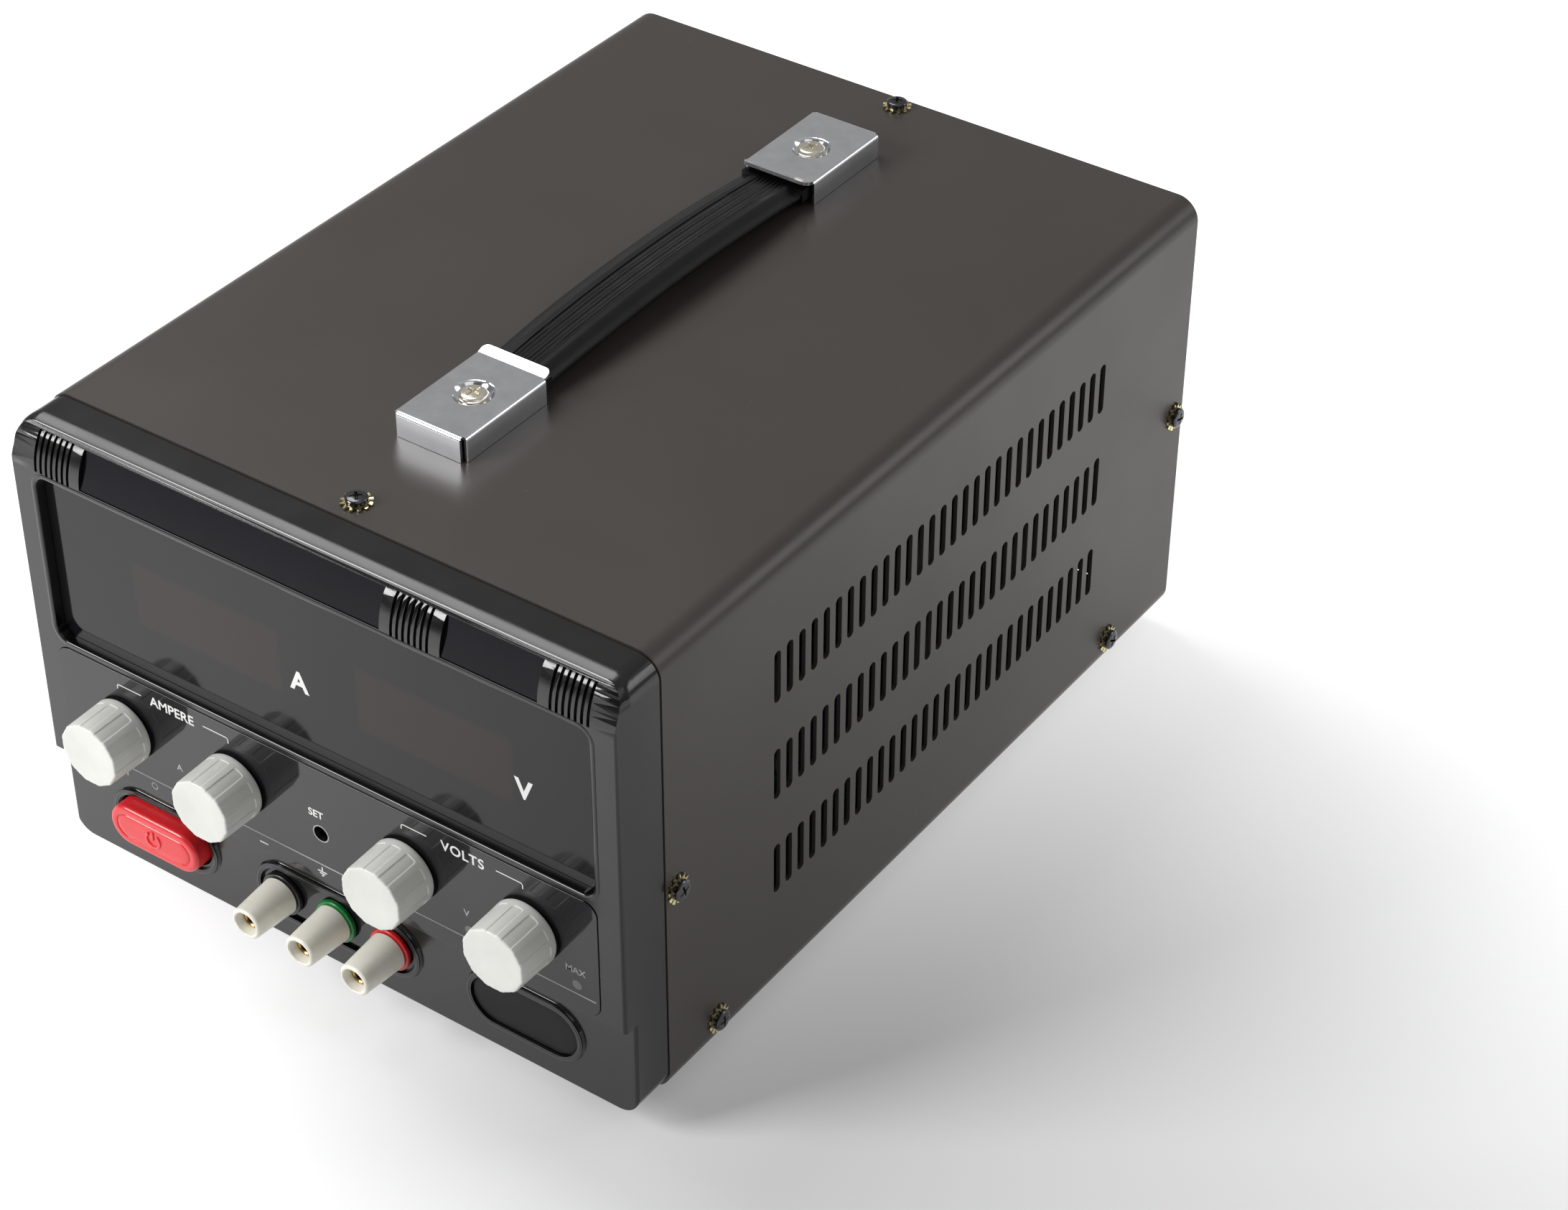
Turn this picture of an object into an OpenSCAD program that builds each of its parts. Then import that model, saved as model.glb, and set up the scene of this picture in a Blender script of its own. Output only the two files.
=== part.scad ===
// Bench power supply: sheet-steel case, moulded front bezel, four control knobs,
// push-push mains switch, three front binding posts, cooling fan and strap handle.
// Case coordinates: X across the front, Y from the cover's front seam towards the
// rear, Z up from the underside of the cover.

/* [Case] */
// Width of the steel cover
case_w = 200; // [196:1:204]
// Height of the steel cover
case_h = 144.8; // [143:0.1:147]
// Depth of the steel cover from its front seam to its rear edge
case_d = 257.4; // [250:0.1:262]
// Outside radius of the cover's long edges
case_r = 7; // [5:0.5:9]
// Thickness of the sheet steel
sheet = 1.2; // [1:0.1:1.5]

/* [Front bezel] */
// Depth of the upper front face ahead of the seam
bezel_d = 17; // [15:0.5:19]
// Depth of the lower front face ahead of the seam
lower_d = 12.9; // [11:0.1:13.5]
// Height at which the upper face steps back to the lower one
step_z = 34.4; // [33.8:0.1:34.8]
// Height of the control overlay's lower edge
overlay_z = 35.6; // [35.4:0.1:36]
// Height of the control overlay's upper edge
overlay_top = 74; // [73:0.1:74.4]
// Height of the display window's lower edge
window_z = 75.9; // [75.5:0.1:77]
// Height of the display window's upper edge
window_top = 130; // [128:0.5:130.5]

/* [Controls] */
// Distance of the outer knobs from the centre line
knob_outer_x = 69.3; // [67:0.1:71]
// Distance of the inner knobs from the centre line
knob_inner_x = 29.4; // [27:0.1:31]
// Height of the knob axes
knob_z = 55; // [54:0.1:57]
// Radius of a knob at its rear ring
knob_r = 10; // [9:0.1:11]
// Length of a knob
knob_len = 13.8; // [12:0.1:15]
// Pitch of the front binding posts
post_pitch = 19; // [19:0.01:19.05]
// Height of the binding posts and of the three recesses of the lower face
post_z = 18.2; // [17:0.1:19]
// Travel of the mains push button
button_travel = 3.2; // [2:0.1:3.4]

/* [Feet] */
// Height of the rubber feet
foot_h = 7; // [6:0.5:10]

/* [Hidden] */
$fn = 48;

// reach of the part ahead of and behind the seam: knob faces and rear post caps
knob_gap = 0.8;
overlay_front = bezel_d + 0.3;
front_reach = overlay_front + knob_gap + knob_len;
rear_post_len = 24;
rear_reach = case_d + rear_post_len;
seam_y = (front_reach - rear_reach) / 2;

// clearances
gap = 0.4;
fit_gap = 0.05;

// bezel
bezel_w = case_w - 0.6;
bezel_top = case_h - 0.6;
bezel_bottom = 1.6;
bezel_wall = 2.5;
corner_r = 6.4;
edge_r = 1.1;
roll_start_y = 12;
roll_z = 131;
roll_in = bezel_d - roll_start_y;
roll_h = bezel_top - roll_z;
roll_r = (roll_in * roll_in + roll_h * roll_h) / (2 * roll_in);
groove_w = 0.9;
groove_pitch = 1.9;
groove_count = 7;
groove_groups = [-90.2, 30.1, 79.6];
plate_tilt = atan(roll_in * 0.78 / 11);
plate_h = 11.6;
plate_z = 131.6;
plates = [[-74.8, 101.1], [45.5, 30.2]];

// display window and overlay
window_w = 183;
window_r = 4.5;
glass_front = bezel_d - 3.1;
glass_t = 2;
overlay_w = 183.4;
overlay_r = 4.2;
overlay_t = 1.3;

// recesses of the lower face
oval_x = 63.2;
oval_w = 38.6;
oval_h = 19;
rim_w = 1.6;
rim_h = 1;
post_rim_w = 57.6;
button_w = 32.4;
button_h = 13.4;
button_front = 18.6;
post_x = -0.8;
post_tip = 29.3;
post_base = 13.3;
ring_t = 1.5;
post_lift = 2.1;

// knob positions and shafts
knob_xs = [-knob_outer_x, -knob_inner_x, knob_inner_x, knob_outer_x];
shaft_r = 3;
shaft_bore = shaft_r + fit_gap;
knob_rear = overlay_front + knob_gap;
knob_front = knob_rear + knob_len;
pot_front = 8;

// vents
slot_rows = [107.9, 75.85, 43.45];
slot_len = 16.4;
slot_w = 2.9;
slot_first = 48.7;
slot_pitch = 5.476;
slot_count = 30;

// handle
bracket_w = 23.6;
bracket_l = 37;
bracket_h = 7.5;
bracket_t = 1;
bracket_y = [35.4, 189];
strap_r = 22;
strap_t = 3.6;
strap_w = 21;
strap_rise = 3;
strap_z = case_h + 2.4;

// fasteners
side_screws = [[5, 68.6], [21.5, 10.5], [252.3, 73.7], [221.1, 10.5]];
top_screws = [7, 252.4];
screw_hole_r = 1.8;
washer_r = 4.3;
washer_t = 0.7;
head_r = 3;
head_h = 2;

// fan, inlet and rear posts
fan_x = 52;
fan_z = 88;
fan_size = 80;
fan_t = 25;
fan_bore = 38;
fan_hole = 35.75;
hub_r = 17;
blade_r = 36.5;
guard_wire = 0.9;
guard_reach = fan_hole * sqrt(2) - 2.6;
inlet_x = -62;
inlet_z = 34;
fuse_x = -26;
fuse_z = 34;
rear_post_x = [-78, -38];
rear_post_z = 92;
stud_r = 4;
rear_cap_r = 10;
rear_cap_len = 14;
rear_base_t = 6;
rear_washer_t = 2;
rear_lift = 3.75;

// ---- helpers -----------------------------------------------------------

module place() { translate([0, seam_y, foot_h]) children(); }

// cylinder whose axis runs towards +Y from the given point
module rod(x, y, z, r, len, r2 = -1) {
  translate([x, y, z]) rotate([-90, 0, 0]) cylinder(h = len, r1 = r, r2 = r2 < 0 ? r : r2);
}

// plate with an X-Z outline, from y to y + t
module plate_xz(y, t) { translate([0, y + t, 0]) rotate([90, 0, 0]) linear_extrude(t) children(); }

// bar with a Y-Z outline, from x to x + w
module bar_yz(x, w) { translate([x, 0, 0]) rotate([90, 0, 90]) linear_extrude(w) children(); }

// rounded rectangle centred on [0, 0]
module rrect(w, h, r) {
  square([w - 2 * r, h], center = true);
  square([w, h - 2 * r], center = true);
  for (x = [-1, 1], z = [-1, 1]) translate([x * (w / 2 - r), z * (h / 2 - r)]) circle(r);
}

// rounded rectangle given by its lower and upper edges
module band_rect(w, z0, z1, r) { translate([0, (z0 + z1) / 2]) rrect(w, z1 - z0, r); }

module stadium(w, h) { rrect(w, h, h / 2 - 0.001); }

module box(x0, x1, y0, y1, z0, z1) { translate([x0, y0, z0]) cube([x1 - x0, y1 - y0, z1 - z0]); }

// ---- case --------------------------------------------------------------

module vent_field() {
  for (i = [0 : slot_count - 1], z = slot_rows)
    translate([slot_first + i * slot_pitch, z]) rotate(90) stadium(slot_len, slot_w);
}

module cover() color([0.29, 0.275, 0.265]) place() difference() {
  plate_xz(gap, case_d - gap) difference() {
    band_rect(case_w, 0, case_h, case_r);
    band_rect(case_w - 2 * sheet, sheet, case_h - sheet, case_r - sheet);
    translate([-case_w / 2 + 14, -1]) square([case_w - 28, sheet + 2]);
  }
  bar_yz(-case_w / 2 - 1, case_w + 2) vent_field();
  for (s = side_screws) translate([-case_w, s[0], s[1]]) rotate([0, 90, 0])
    cylinder(h = 2 * case_w, r = screw_hole_r);
  for (y = top_screws) translate([0, y, case_h - 5]) cylinder(h = 10, r = screw_hole_r);
  for (y = bracket_y) translate([0, y + bracket_l / 2, case_h - 5]) cylinder(h = 10, r = 2);
}

module base_chassis() color([0.72, 0.73, 0.74]) place() difference() {
  union() {
    box(-92, 92, 2, case_d - 3.2, 1.4, 2.8);
    for (s = [-1, 1]) translate([s * 92.7, 0, 0]) box(-0.7, 0.7, 2, case_d - 3.2, 1.4, 24);
  }
  for (x = [-72, 72], y = [24, case_d - 26]) translate([x, y, 0]) cylinder(h = 8, r = 1.8);
  for (x = [-56 : 14 : 56], y = [60 : 16 : 124]) translate([x, y, 0]) cylinder(h = 8, r = 2.5);
}

module rear_panel() color([0.22, 0.21, 0.205]) place() difference() {
  plate_xz(case_d - 3, 1.5) band_rect(case_w - 2 * sheet - 0.8, 3, case_h - sheet - 0.4, 5);
  rod(fan_x, case_d - 6, fan_z, fan_bore, 10);
  for (x = [-1, 1], z = [-1, 1])
    rod(fan_x + x * fan_hole, case_d - 6, fan_z + z * fan_hole, 2.2, 10);
  box(inlet_x - 14.2, inlet_x + 14.2, case_d - 6, case_d, inlet_z - 10.2, inlet_z + 10.2);
  rod(fuse_x, case_d - 6, fuse_z, 6.3, 10);
  for (x = rear_post_x) rod(x, case_d - 6, rear_post_z, 6.2, 10);
}

// ---- bezel -------------------------------------------------------------

module bezel_side(depth, z1) {
  translate([-roll_start_y, 0]) square([roll_start_y, z1]);
  translate([-depth, 0]) square([depth, min(z1, roll_z)]);
}

module roll_section(inset = 0) {
  intersection() {
    translate([roll_r - bezel_d, roll_z]) circle(roll_r - inset, $fn = 96);
    translate([-bezel_d, roll_z]) square([roll_in, roll_h]);
  }
}

module bezel_plan(depth) {
  translate([-bezel_w / 2, -depth + edge_r]) square([bezel_w, depth - edge_r]);
  translate([-bezel_w / 2 + edge_r, -depth]) square([bezel_w - 2 * edge_r, depth]);
  for (s = [-1, 1]) translate([s * (bezel_w / 2 - edge_r), -depth + edge_r]) circle(edge_r);
}

module bezel_body() {
  intersection() {
    plate_xz(-bezel_d, bezel_d) band_rect(bezel_w, bezel_bottom, bezel_top, corner_r);
    bar_yz(-bezel_w, 2 * bezel_w) {
      bezel_side(bezel_d, bezel_top);
      roll_section();
    }
    union() {
      linear_extrude(bezel_top) bezel_plan(lower_d);
      translate([0, 0, step_z]) linear_extrude(bezel_top) bezel_plan(bezel_d);
    }
  }
}

module front_hole(x, z, r) { rod(x, -bezel_d - 2, z, r, bezel_d + 2); }

module plate_recess(p, extra) {
  translate([p[0] - extra, -bezel_d, plate_z - extra]) rotate([-plate_tilt, 0, 0])
    translate([0, -3, 0]) cube([p[1] + 2 * extra, 3 + 1.5, plate_h + 2 * extra]);
}

module groove_cut() {
  for (g = groove_groups, i = [0 : groove_count - 1])
    bar_yz(g + i * groove_pitch - groove_w / 2, groove_w) intersection() {
      difference() {
        translate([roll_r - bezel_d, roll_z]) circle(roll_r + 1, $fn = 96);
        translate([roll_r - bezel_d, roll_z]) circle(roll_r - 1, $fn = 96);
      }
      translate([-bezel_d - 1, roll_z + 0.3]) square([roll_in + 1.3, 11.5]);
    }
}

module bezel() color([0.19, 0.185, 0.18]) place() difference() {
  union() {
    difference() {
      bezel_body();
      box(-96, 96, -bezel_d + bezel_wall, 1, step_z + 2.2, 129.5);
      box(-96, 96, -lower_d + bezel_wall, 1, 5, step_z + 3);
      box(-93, 93, -roll_start_y + 3, 1, 129, bezel_top - 3);
    }
    plate_xz(-bezel_d + 1, 6) band_rect(window_w + 6, window_z - 3, window_top + 3, window_r + 2);
    for (s = [-1, 1]) plate_xz(-lower_d - rim_h, rim_h + 1) translate([s * oval_x, post_z])
      stadium(oval_w, oval_h);
    plate_xz(-lower_d - rim_h, rim_h + 1) translate([post_x, post_z]) stadium(post_rim_w, oval_h);
  }
  plate_xz(-bezel_d - 1, 9) band_rect(window_w, window_z, window_top, window_r);
  plate_xz(-glass_front, 9) band_rect(window_w + 3, window_z - 1.5, window_top + 1.5, window_r);
  plate_xz(-bezel_d - 1, 2) band_rect(overlay_w + 0.3, overlay_z - 0.15, overlay_top + 0.15, overlay_r);
  for (p = plates) plate_recess(p, 0);
  groove_cut();
  for (x = knob_xs) front_hole(x, knob_z, 5);
  front_hole(0, 52, 2.6);
  for (p = [[-49.6, 44], [49.6, 44], [84.6, 44]]) front_hole(p[0], p[1], 2.2);
  plate_xz(-lower_d - 3, 3 + 0.2) translate([post_x, post_z])
    stadium(post_rim_w - 2 * rim_w, oval_h - 2 * rim_w);
  for (i = [-1 : 1]) rod(post_x + i * post_pitch, -lower_d - 3, post_z, 4.3, 12);
  plate_xz(-lower_d - 3, 3 + 0.2) translate([oval_x, post_z])
    stadium(oval_w - 2 * rim_w, oval_h - 2 * rim_w);
  plate_xz(-lower_d - 3, 12) translate([-oval_x, post_z + 0.6]) stadium(button_w + 1.6, button_h + 1.6);
  plate_xz(-lower_d - 3, 3 - 0.2) translate([-oval_x, post_z])
    stadium(oval_w - 2 * rim_w, oval_h - 2 * rim_w);
}

module display_window() color([0.16, 0.16, 0.17]) place()
  plate_xz(-glass_front + 0.02, glass_t)
    band_rect(window_w + 2.6, window_z - 1.3, window_top + 1.3, window_r);

module control_overlay() color([0.17, 0.17, 0.18]) place() difference() {
  plate_xz(-overlay_front, overlay_t - 0.02) band_rect(overlay_w, overlay_z, overlay_top, overlay_r);
  for (x = knob_xs) front_hole(x, knob_z, 5);
  front_hole(0, 52, 2.4);
}

module nameplate(p) color([0.13, 0.13, 0.16]) place()
  translate([p[0] + 0.1, -bezel_d, plate_z + 0.1]) rotate([-plate_tilt, 0, 0])
    translate([0, 0.35, 0]) cube([p[1] - 0.2, 1.13, plate_h - 0.2]);

module nameplate_long() { nameplate(plates[0]); }
module nameplate_short() { nameplate(plates[1]); }

// ---- mains push button ---------------------------------------------------

module power_button() color([0.85, 0.12, 0.12]) place() {
  plate_xz(-button_front, 12) translate([-oval_x, post_z + 0.6]) stadium(button_w, button_h);
  box(-oval_x - 3, -oval_x + 3, -button_front + 12, 1.6, post_z - 2.4, post_z + 3.6);
}

module power_switch() color([0.12, 0.12, 0.13]) place() difference() {
  box(-oval_x - 9, -oval_x + 9, 0.4, 32, post_z - 8, post_z + 9);
  box(-oval_x - 3.4, -oval_x + 3.4, 0, 6, post_z - 2.8, post_z + 4);
}

// ---- front binding posts ---------------------------------------------------

function post_at(i) = post_x + (i - 1) * post_pitch;

module terminal_cap(i) color([0.9, 0.89, 0.84]) place() difference() {
  rod(post_at(i), -post_tip, post_z, 4.95, post_tip - post_base - ring_t - 0.1, 5.8);
  rod(post_at(i), -post_tip - 1, post_z, 3.65, 6);
  rod(post_at(i), -post_tip - 1, post_z, 2.5 + fit_gap, 30);
}

module terminal_ring(i) place()
  difference() {
    rod(post_at(i), -post_base - ring_t, post_z, 6.7, ring_t);
    rod(post_at(i), -post_base - ring_t - 1, post_z, 2.5 + fit_gap, 5);
  }

module terminal_cap_minus() { terminal_cap(0); }
module terminal_cap_gnd() { terminal_cap(1); }
module terminal_cap_plus() { terminal_cap(2); }
module terminal_ring_black() color([0.08, 0.08, 0.08]) { terminal_ring(0); }
module terminal_ring_green() color([0.1, 0.45, 0.2]) { terminal_ring(1); }
module terminal_ring_red() color([0.75, 0.12, 0.12]) { terminal_ring(2); }

// brass studs bored for a 4 mm plug, with their insulating bushes and nuts
module terminal_studs() color([0.78, 0.62, 0.28]) place() for (i = [0 : 2]) difference() {
  union() {
    rod(post_at(i), -post_tip + 5.2, post_z, 2.5, post_tip - 5.2 + 12);
    rod(post_at(i), -lower_d + 0.25, post_z, 4.2, lower_d - 0.25);
    rod(post_at(i), 0, post_z, 6, 4);
  }
  rod(post_at(i), -post_tip, post_z, 2.03, 22);
}

// ---- knobs and potentiometers ------------------------------------------------

module knob(i) color([0.93, 0.93, 0.91]) place() difference() {
  rod(knob_xs[i], -knob_front, knob_z, knob_r - 0.25, knob_len, knob_r);
  rod(knob_xs[i], -knob_rear - 9.5, knob_z, shaft_r, 12);
  for (a = [15 : 30 : 345]) translate([knob_xs[i], 0, knob_z]) rotate([0, a, 0])
    box(-1.4, 1.4, -knob_front - 1, -knob_rear - 2.2, knob_r - 0.6, knob_r + 2);
}

module shaft(i) color([0.75, 0.76, 0.78]) place()
  rod(knob_xs[i], -knob_rear - 9.4, knob_z, shaft_r, knob_rear + 9.4 - 2);

module knob_current_coarse() { knob(0); }
module knob_current_fine() { knob(1); }
module knob_voltage_coarse() { knob(2); }
module knob_voltage_fine() { knob(3); }
module shaft_current_coarse() { shaft(0); }
module shaft_current_fine() { shaft(1); }
module shaft_voltage_coarse() { shaft(2); }
module shaft_voltage_fine() { shaft(3); }

module potentiometers() color([0.55, 0.5, 0.35]) place() for (x = knob_xs) difference() {
  union() {
    rod(x, -bezel_d + 3, knob_z, 4.6, 10);
    rod(x, -pot_front + 0.5, knob_z, 9, 10);
  }
  rod(x, -bezel_d, knob_z, shaft_bore, bezel_d - 1.6);
}

module trimmer_body() color([0.2, 0.35, 0.65]) place() difference() {
  box(-4.5, 4.5, -10, -2, 47.5, 56.5);
  rod(0, -11, 52, 1.75, 7);
}

module trimmer_rotor() color([0.88, 0.88, 0.85]) place() difference() {
  rod(0, -overlay_front + 2.2, 52, 1.7, overlay_front - 2.2 - 4.2);
  box(-1.2, 1.2, -overlay_front + 2, -overlay_front + 3, 51.7, 52.3);
}

module status_leds() color([0.6, 0.6, 0.58]) place()
  for (x = [-49.6, 49.6, 84.6]) rod(x, -bezel_d + 1.05, 44, 1.5, 9);

module control_board() color([0.1, 0.32, 0.16]) place() difference() {
  box(-92, 92, 2.6, 4.2, 41, 70);
  for (x = knob_xs) rod(x, 0, knob_z, 3, 8);
}

module display_board() color([0.1, 0.32, 0.16]) place() box(-88, 88, -3, -1.4, 80, 126);

module display_modules() color([0.12, 0.04, 0.04]) place()
  for (x = [-62, 14]) box(x, x + 50, -11, -3.02, 92, 112);

// ---- inside the case -----------------------------------------------------------

module main_board() color([0.12, 0.36, 0.18]) place() box(-20, 76, 112, 226, 8, 9.6);

module board_standoffs() color([0.8, 0.64, 0.3]) place()
  for (x = [-14, 70], y = [118, 220]) translate([x, y, 2.82]) cylinder(h = 5.16, r = 2.6);

module transformer_core() color([0.36, 0.37, 0.38]) place() difference() {
  box(-86, -22, 40, 110, 3, 80);
  box(-74, -34, 38, 112, 16, 67);
}

module transformer_winding() color([0.8, 0.68, 0.35]) place() difference() {
  box(-74, -34, 34, 116, 16.2, 66.8);
  box(-60, -48, 40.2, 109.8, 10, 90);
}

module capacitors() color([0.12, 0.16, 0.34]) place()
  for (x = [0, 30, 60], y = [124, 156]) translate([x, y, 9.62]) cylinder(h = 42, r = 12.5);

module heatsinks() color([0.14, 0.14, 0.15]) place() for (s = [-1, 1]) {
  translate([s * 80, 0, 0]) box(-1.5, 1.5, 130, 214, 2.85, 118);
  for (i = [0 : 13]) translate([s * 80, 130 + i * 6.3, 0])
    box(s > 0 ? 1.4 : -9, s > 0 ? 9 : -1.4, 0, 1.6, 2.85, 118);
}

module power_transistors() color([0.1, 0.1, 0.1]) place()
  for (s = [-1, 1], y = [140 : 18 : 194]) translate([s * 80, y, 0])
    box(s > 0 ? -6.5 : 1.52, s > 0 ? -1.52 : 6.5, 0, 13, 60, 78);

// ---- fan -----------------------------------------------------------------------

fan_y = case_d - 3 - 0.1 - fan_t;

module fan_frame() color([0.09, 0.09, 0.09]) place() difference() {
  union() {
    difference() {
      plate_xz(fan_y, fan_t) translate([fan_x, fan_z]) rrect(fan_size, fan_size, 5);
      rod(fan_x, fan_y - 1, fan_z, fan_bore, fan_t + 2);
    }
    intersection() {
      for (a = [45, 135]) translate([fan_x, 0, fan_z]) rotate([0, a, 0])
        box(-40, 40, fan_y, fan_y + 2.6, -2.5, 2.5);
      rod(fan_x, fan_y, fan_z, fan_bore + 1, 4);
    }
    rod(fan_x, fan_y, fan_z, hub_r, 2.6);
    rod(fan_x, fan_y + 2, fan_z, 4, 6);
  }
  rod(fan_x, fan_y + 1, fan_z, 1.55, 20);
  for (x = [-1, 1], z = [-1, 1])
    rod(fan_x + x * fan_hole, fan_y - 1, fan_z + z * fan_hole, 1.9, fan_t + 2);
}

module fan_rotor() color([0.07, 0.07, 0.07]) place() {
  difference() {
    rod(fan_x, fan_y + 3.2, fan_z, hub_r, fan_t - 5);
    rod(fan_x, fan_y + 3, fan_z, hub_r - 2, fan_t - 8);
  }
  rod(fan_x, fan_y + 1.5, fan_z, 1.5, fan_t - 6);
  for (a = [0 : 360 / 7 : 359]) translate([fan_x, fan_y + 12.5, fan_z]) rotate([0, a, 0])
    translate([0, 0, hub_r - 0.8]) rotate([0, 0, 38])
      box(-10, 10, -0.8, 0.8, 0, blade_r - hub_r - 2.2);
}

module fan_guard() color([0.75, 0.76, 0.78]) place() {
  for (r = [9 : 7 : 37]) translate([fan_x, case_d, fan_z]) rotate([90, 0, 0])
    rotate_extrude() translate([r, 0]) circle(guard_wire, $fn = 16);
  for (a = [45, 135]) translate([fan_x, case_d + 0.8, fan_z]) rotate([0, a + 90, 0])
    translate([0, 0, -guard_reach]) cylinder(h = 2 * guard_reach, r = guard_wire, $fn = 16);
  for (x = [-1, 1], z = [-1, 1]) difference() {
    rod(fan_x + x * fan_hole, case_d - 1.48, fan_z + z * fan_hole, 3.6, 3.4);
    rod(fan_x + x * fan_hole, case_d - 3, fan_z + z * fan_hole, 2.2, 8);
  }
}

module fan_screws() color([0.8, 0.8, 0.82]) place()
  for (x = [-1, 1], z = [-1, 1]) {
    rod(fan_x + x * fan_hole, case_d + 1.94, fan_z + z * fan_hole, 3.4, 2.2);
    rod(fan_x + x * fan_hole, case_d - 12, fan_z + z * fan_hole, 1.85, 14);
  }

// ---- rear connectors --------------------------------------------------------------

module mains_inlet() color([0.07, 0.07, 0.07]) place() difference() {
  union() {
    plate_xz(case_d - 1.48, 3) translate([inlet_x, inlet_z]) rrect(48, 24, 4);
    box(inlet_x - 14, inlet_x + 14, case_d - 18, case_d, inlet_z - 10, inlet_z + 10);
  }
  plate_xz(case_d - 14, 20) translate([inlet_x, inlet_z]) rrect(24.4, 16.4, 2);
}

module fuse_holder() color([0.07, 0.07, 0.07]) place() difference() {
  union() {
    rod(fuse_x, case_d - 1.48, fuse_z, 8.5, 2.5);
    rod(fuse_x, case_d - 24, fuse_z, 6.2, 24);
  }
  rod(fuse_x, case_d - 20, fuse_z, 5.2, 30);
}

module fuse_cap() color([0.1, 0.1, 0.1]) place() difference() {
  union() {
    rod(fuse_x, case_d + 1.5, fuse_z, 7.2, 6);
    rod(fuse_x, case_d - 14, fuse_z, 5.1, 16);
  }
  box(fuse_x - 5, fuse_x + 5, case_d + 6.3, case_d + 8, fuse_z - 0.8, fuse_z + 0.8);
}

module rear_post_bases() color([0.08, 0.08, 0.08]) place() for (x = rear_post_x) difference() {
  union() {
    rod(x, case_d - 1.48, rear_post_z, 11, rear_base_t);
    rod(x, case_d - 8, rear_post_z, 6, 8);
  }
  rod(x, case_d - 10, rear_post_z, stud_r, 20);
}

module rear_post_studs() color([0.8, 0.64, 0.3]) place() for (x = rear_post_x) {
  rod(x, case_d - 18, rear_post_z, stud_r, rear_post_len + 18);
  rod(x, case_d - 13, rear_post_z, 7, 4.9);
}

rear_washer_y = case_d - 1.48 + rear_base_t + 0.05;

module rear_washer(x) color([0.8, 0.64, 0.3]) place() difference() {
  rod(x, rear_washer_y, rear_post_z, 8, rear_washer_t);
  rod(x, rear_washer_y - 1, rear_post_z, stud_r + fit_gap, 6);
}

module rear_cap(x) place() difference() {
  rod(x, rear_washer_y + rear_washer_t + 0.05, rear_post_z, rear_cap_r, rear_cap_len);
  rod(x, rear_washer_y, rear_post_z, stud_r + fit_gap, 30);
  for (a = [0 : 20 : 340]) translate([x, 0, rear_post_z]) rotate([0, a, 0])
    box(-0.8, 0.8, rear_washer_y + 4, rear_washer_y + 30, rear_cap_r - 0.7, rear_cap_r + 2);
}

module rear_washer_black() { rear_washer(rear_post_x[0]); }
module rear_washer_red() { rear_washer(rear_post_x[1]); }
module rear_cap_black() color([0.08, 0.08, 0.08]) { rear_cap(rear_post_x[0]); }
module rear_cap_red() color([0.75, 0.1, 0.1]) { rear_cap(rear_post_x[1]); }

// ---- handle --------------------------------------------------------------------------

module handle_brackets() color([0.85, 0.86, 0.88]) place()
  for (i = [0, 1]) translate([0, bracket_y[i], case_h + 0.05]) difference() {
    translate([-bracket_w / 2, 0, 0]) cube([bracket_w, bracket_l, bracket_h]);
    translate([-bracket_w / 2 + bracket_t, i == 0 ? bracket_t : -1, -1])
      cube([bracket_w - 2 * bracket_t, bracket_l, bracket_h + 1 - bracket_t]);
    translate([0, bracket_l / 2, 0]) cylinder(h = 20, r = 2.1);
  }

// arc through the strap: ends level with the bracket mouths, middle raised
strap_y0 = bracket_y[0] + bracket_l + 1.5;
strap_y1 = bracket_y[1] - 1.5;
strap_half = (strap_y1 - strap_y0) / 2;
strap_arc_r = (strap_half * strap_half + strap_rise * strap_rise) / (2 * strap_rise);

module handle_strap() color([0.07, 0.07, 0.07]) place() bar_yz(-strap_w / 2, strap_w)
  intersection() {
    translate([strap_y0 + strap_half, strap_z + strap_rise - strap_arc_r]) difference() {
      circle(strap_arc_r + strap_t, $fn = 180);
      circle(strap_arc_r, $fn = 180);
    }
    translate([strap_y0, strap_z - 1]) square([2 * strap_half, 20]);
  }

module handle_strap_ends() color([0.07, 0.07, 0.07]) place()
  for (y = [bracket_y[0] + 3, strap_y1 + 0.5])
    difference() {
      translate([-strap_w / 2, y, strap_z]) cube([strap_w, bracket_l - 2, strap_t]);
      for (b = bracket_y) translate([0, b + bracket_l / 2, strap_z - 1]) cylinder(h = 8, r = 2.1);
    }

module handle_screws() color([0.85, 0.84, 0.8]) place()
  for (b = bracket_y) translate([0, b + bracket_l / 2, 0]) {
    translate([0, 0, case_h + bracket_h + 0.07]) cylinder(h = 1.6, r = 3.8);
    translate([0, 0, case_h - 6]) cylinder(h = bracket_h + 7, r = 1.95);
  }

// ---- fasteners and feet ------------------------------------------------------------------

module side_spots() {
  for (s = [-1, 1], p = side_screws) translate([s * case_w / 2, p[0], p[1]])
    rotate([0, s * 90, 0]) children();
  for (y = top_screws) translate([0, y, case_h]) children();
}

module case_screws() color([0.08, 0.08, 0.08]) place() side_spots() {
  translate([0, 0, washer_t + 0.04]) difference() {
    cylinder(h = head_h, r1 = head_r, r2 = head_r * 0.8);
    translate([-2, -0.4, head_h - 1.1]) cube([4, 0.8, 2]);
    translate([-0.4, -2, head_h - 1.1]) cube([0.8, 4, 2]);
  }
  translate([0, 0, -5]) cylinder(h = washer_t + 5.1, r = 1.75);
}

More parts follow.
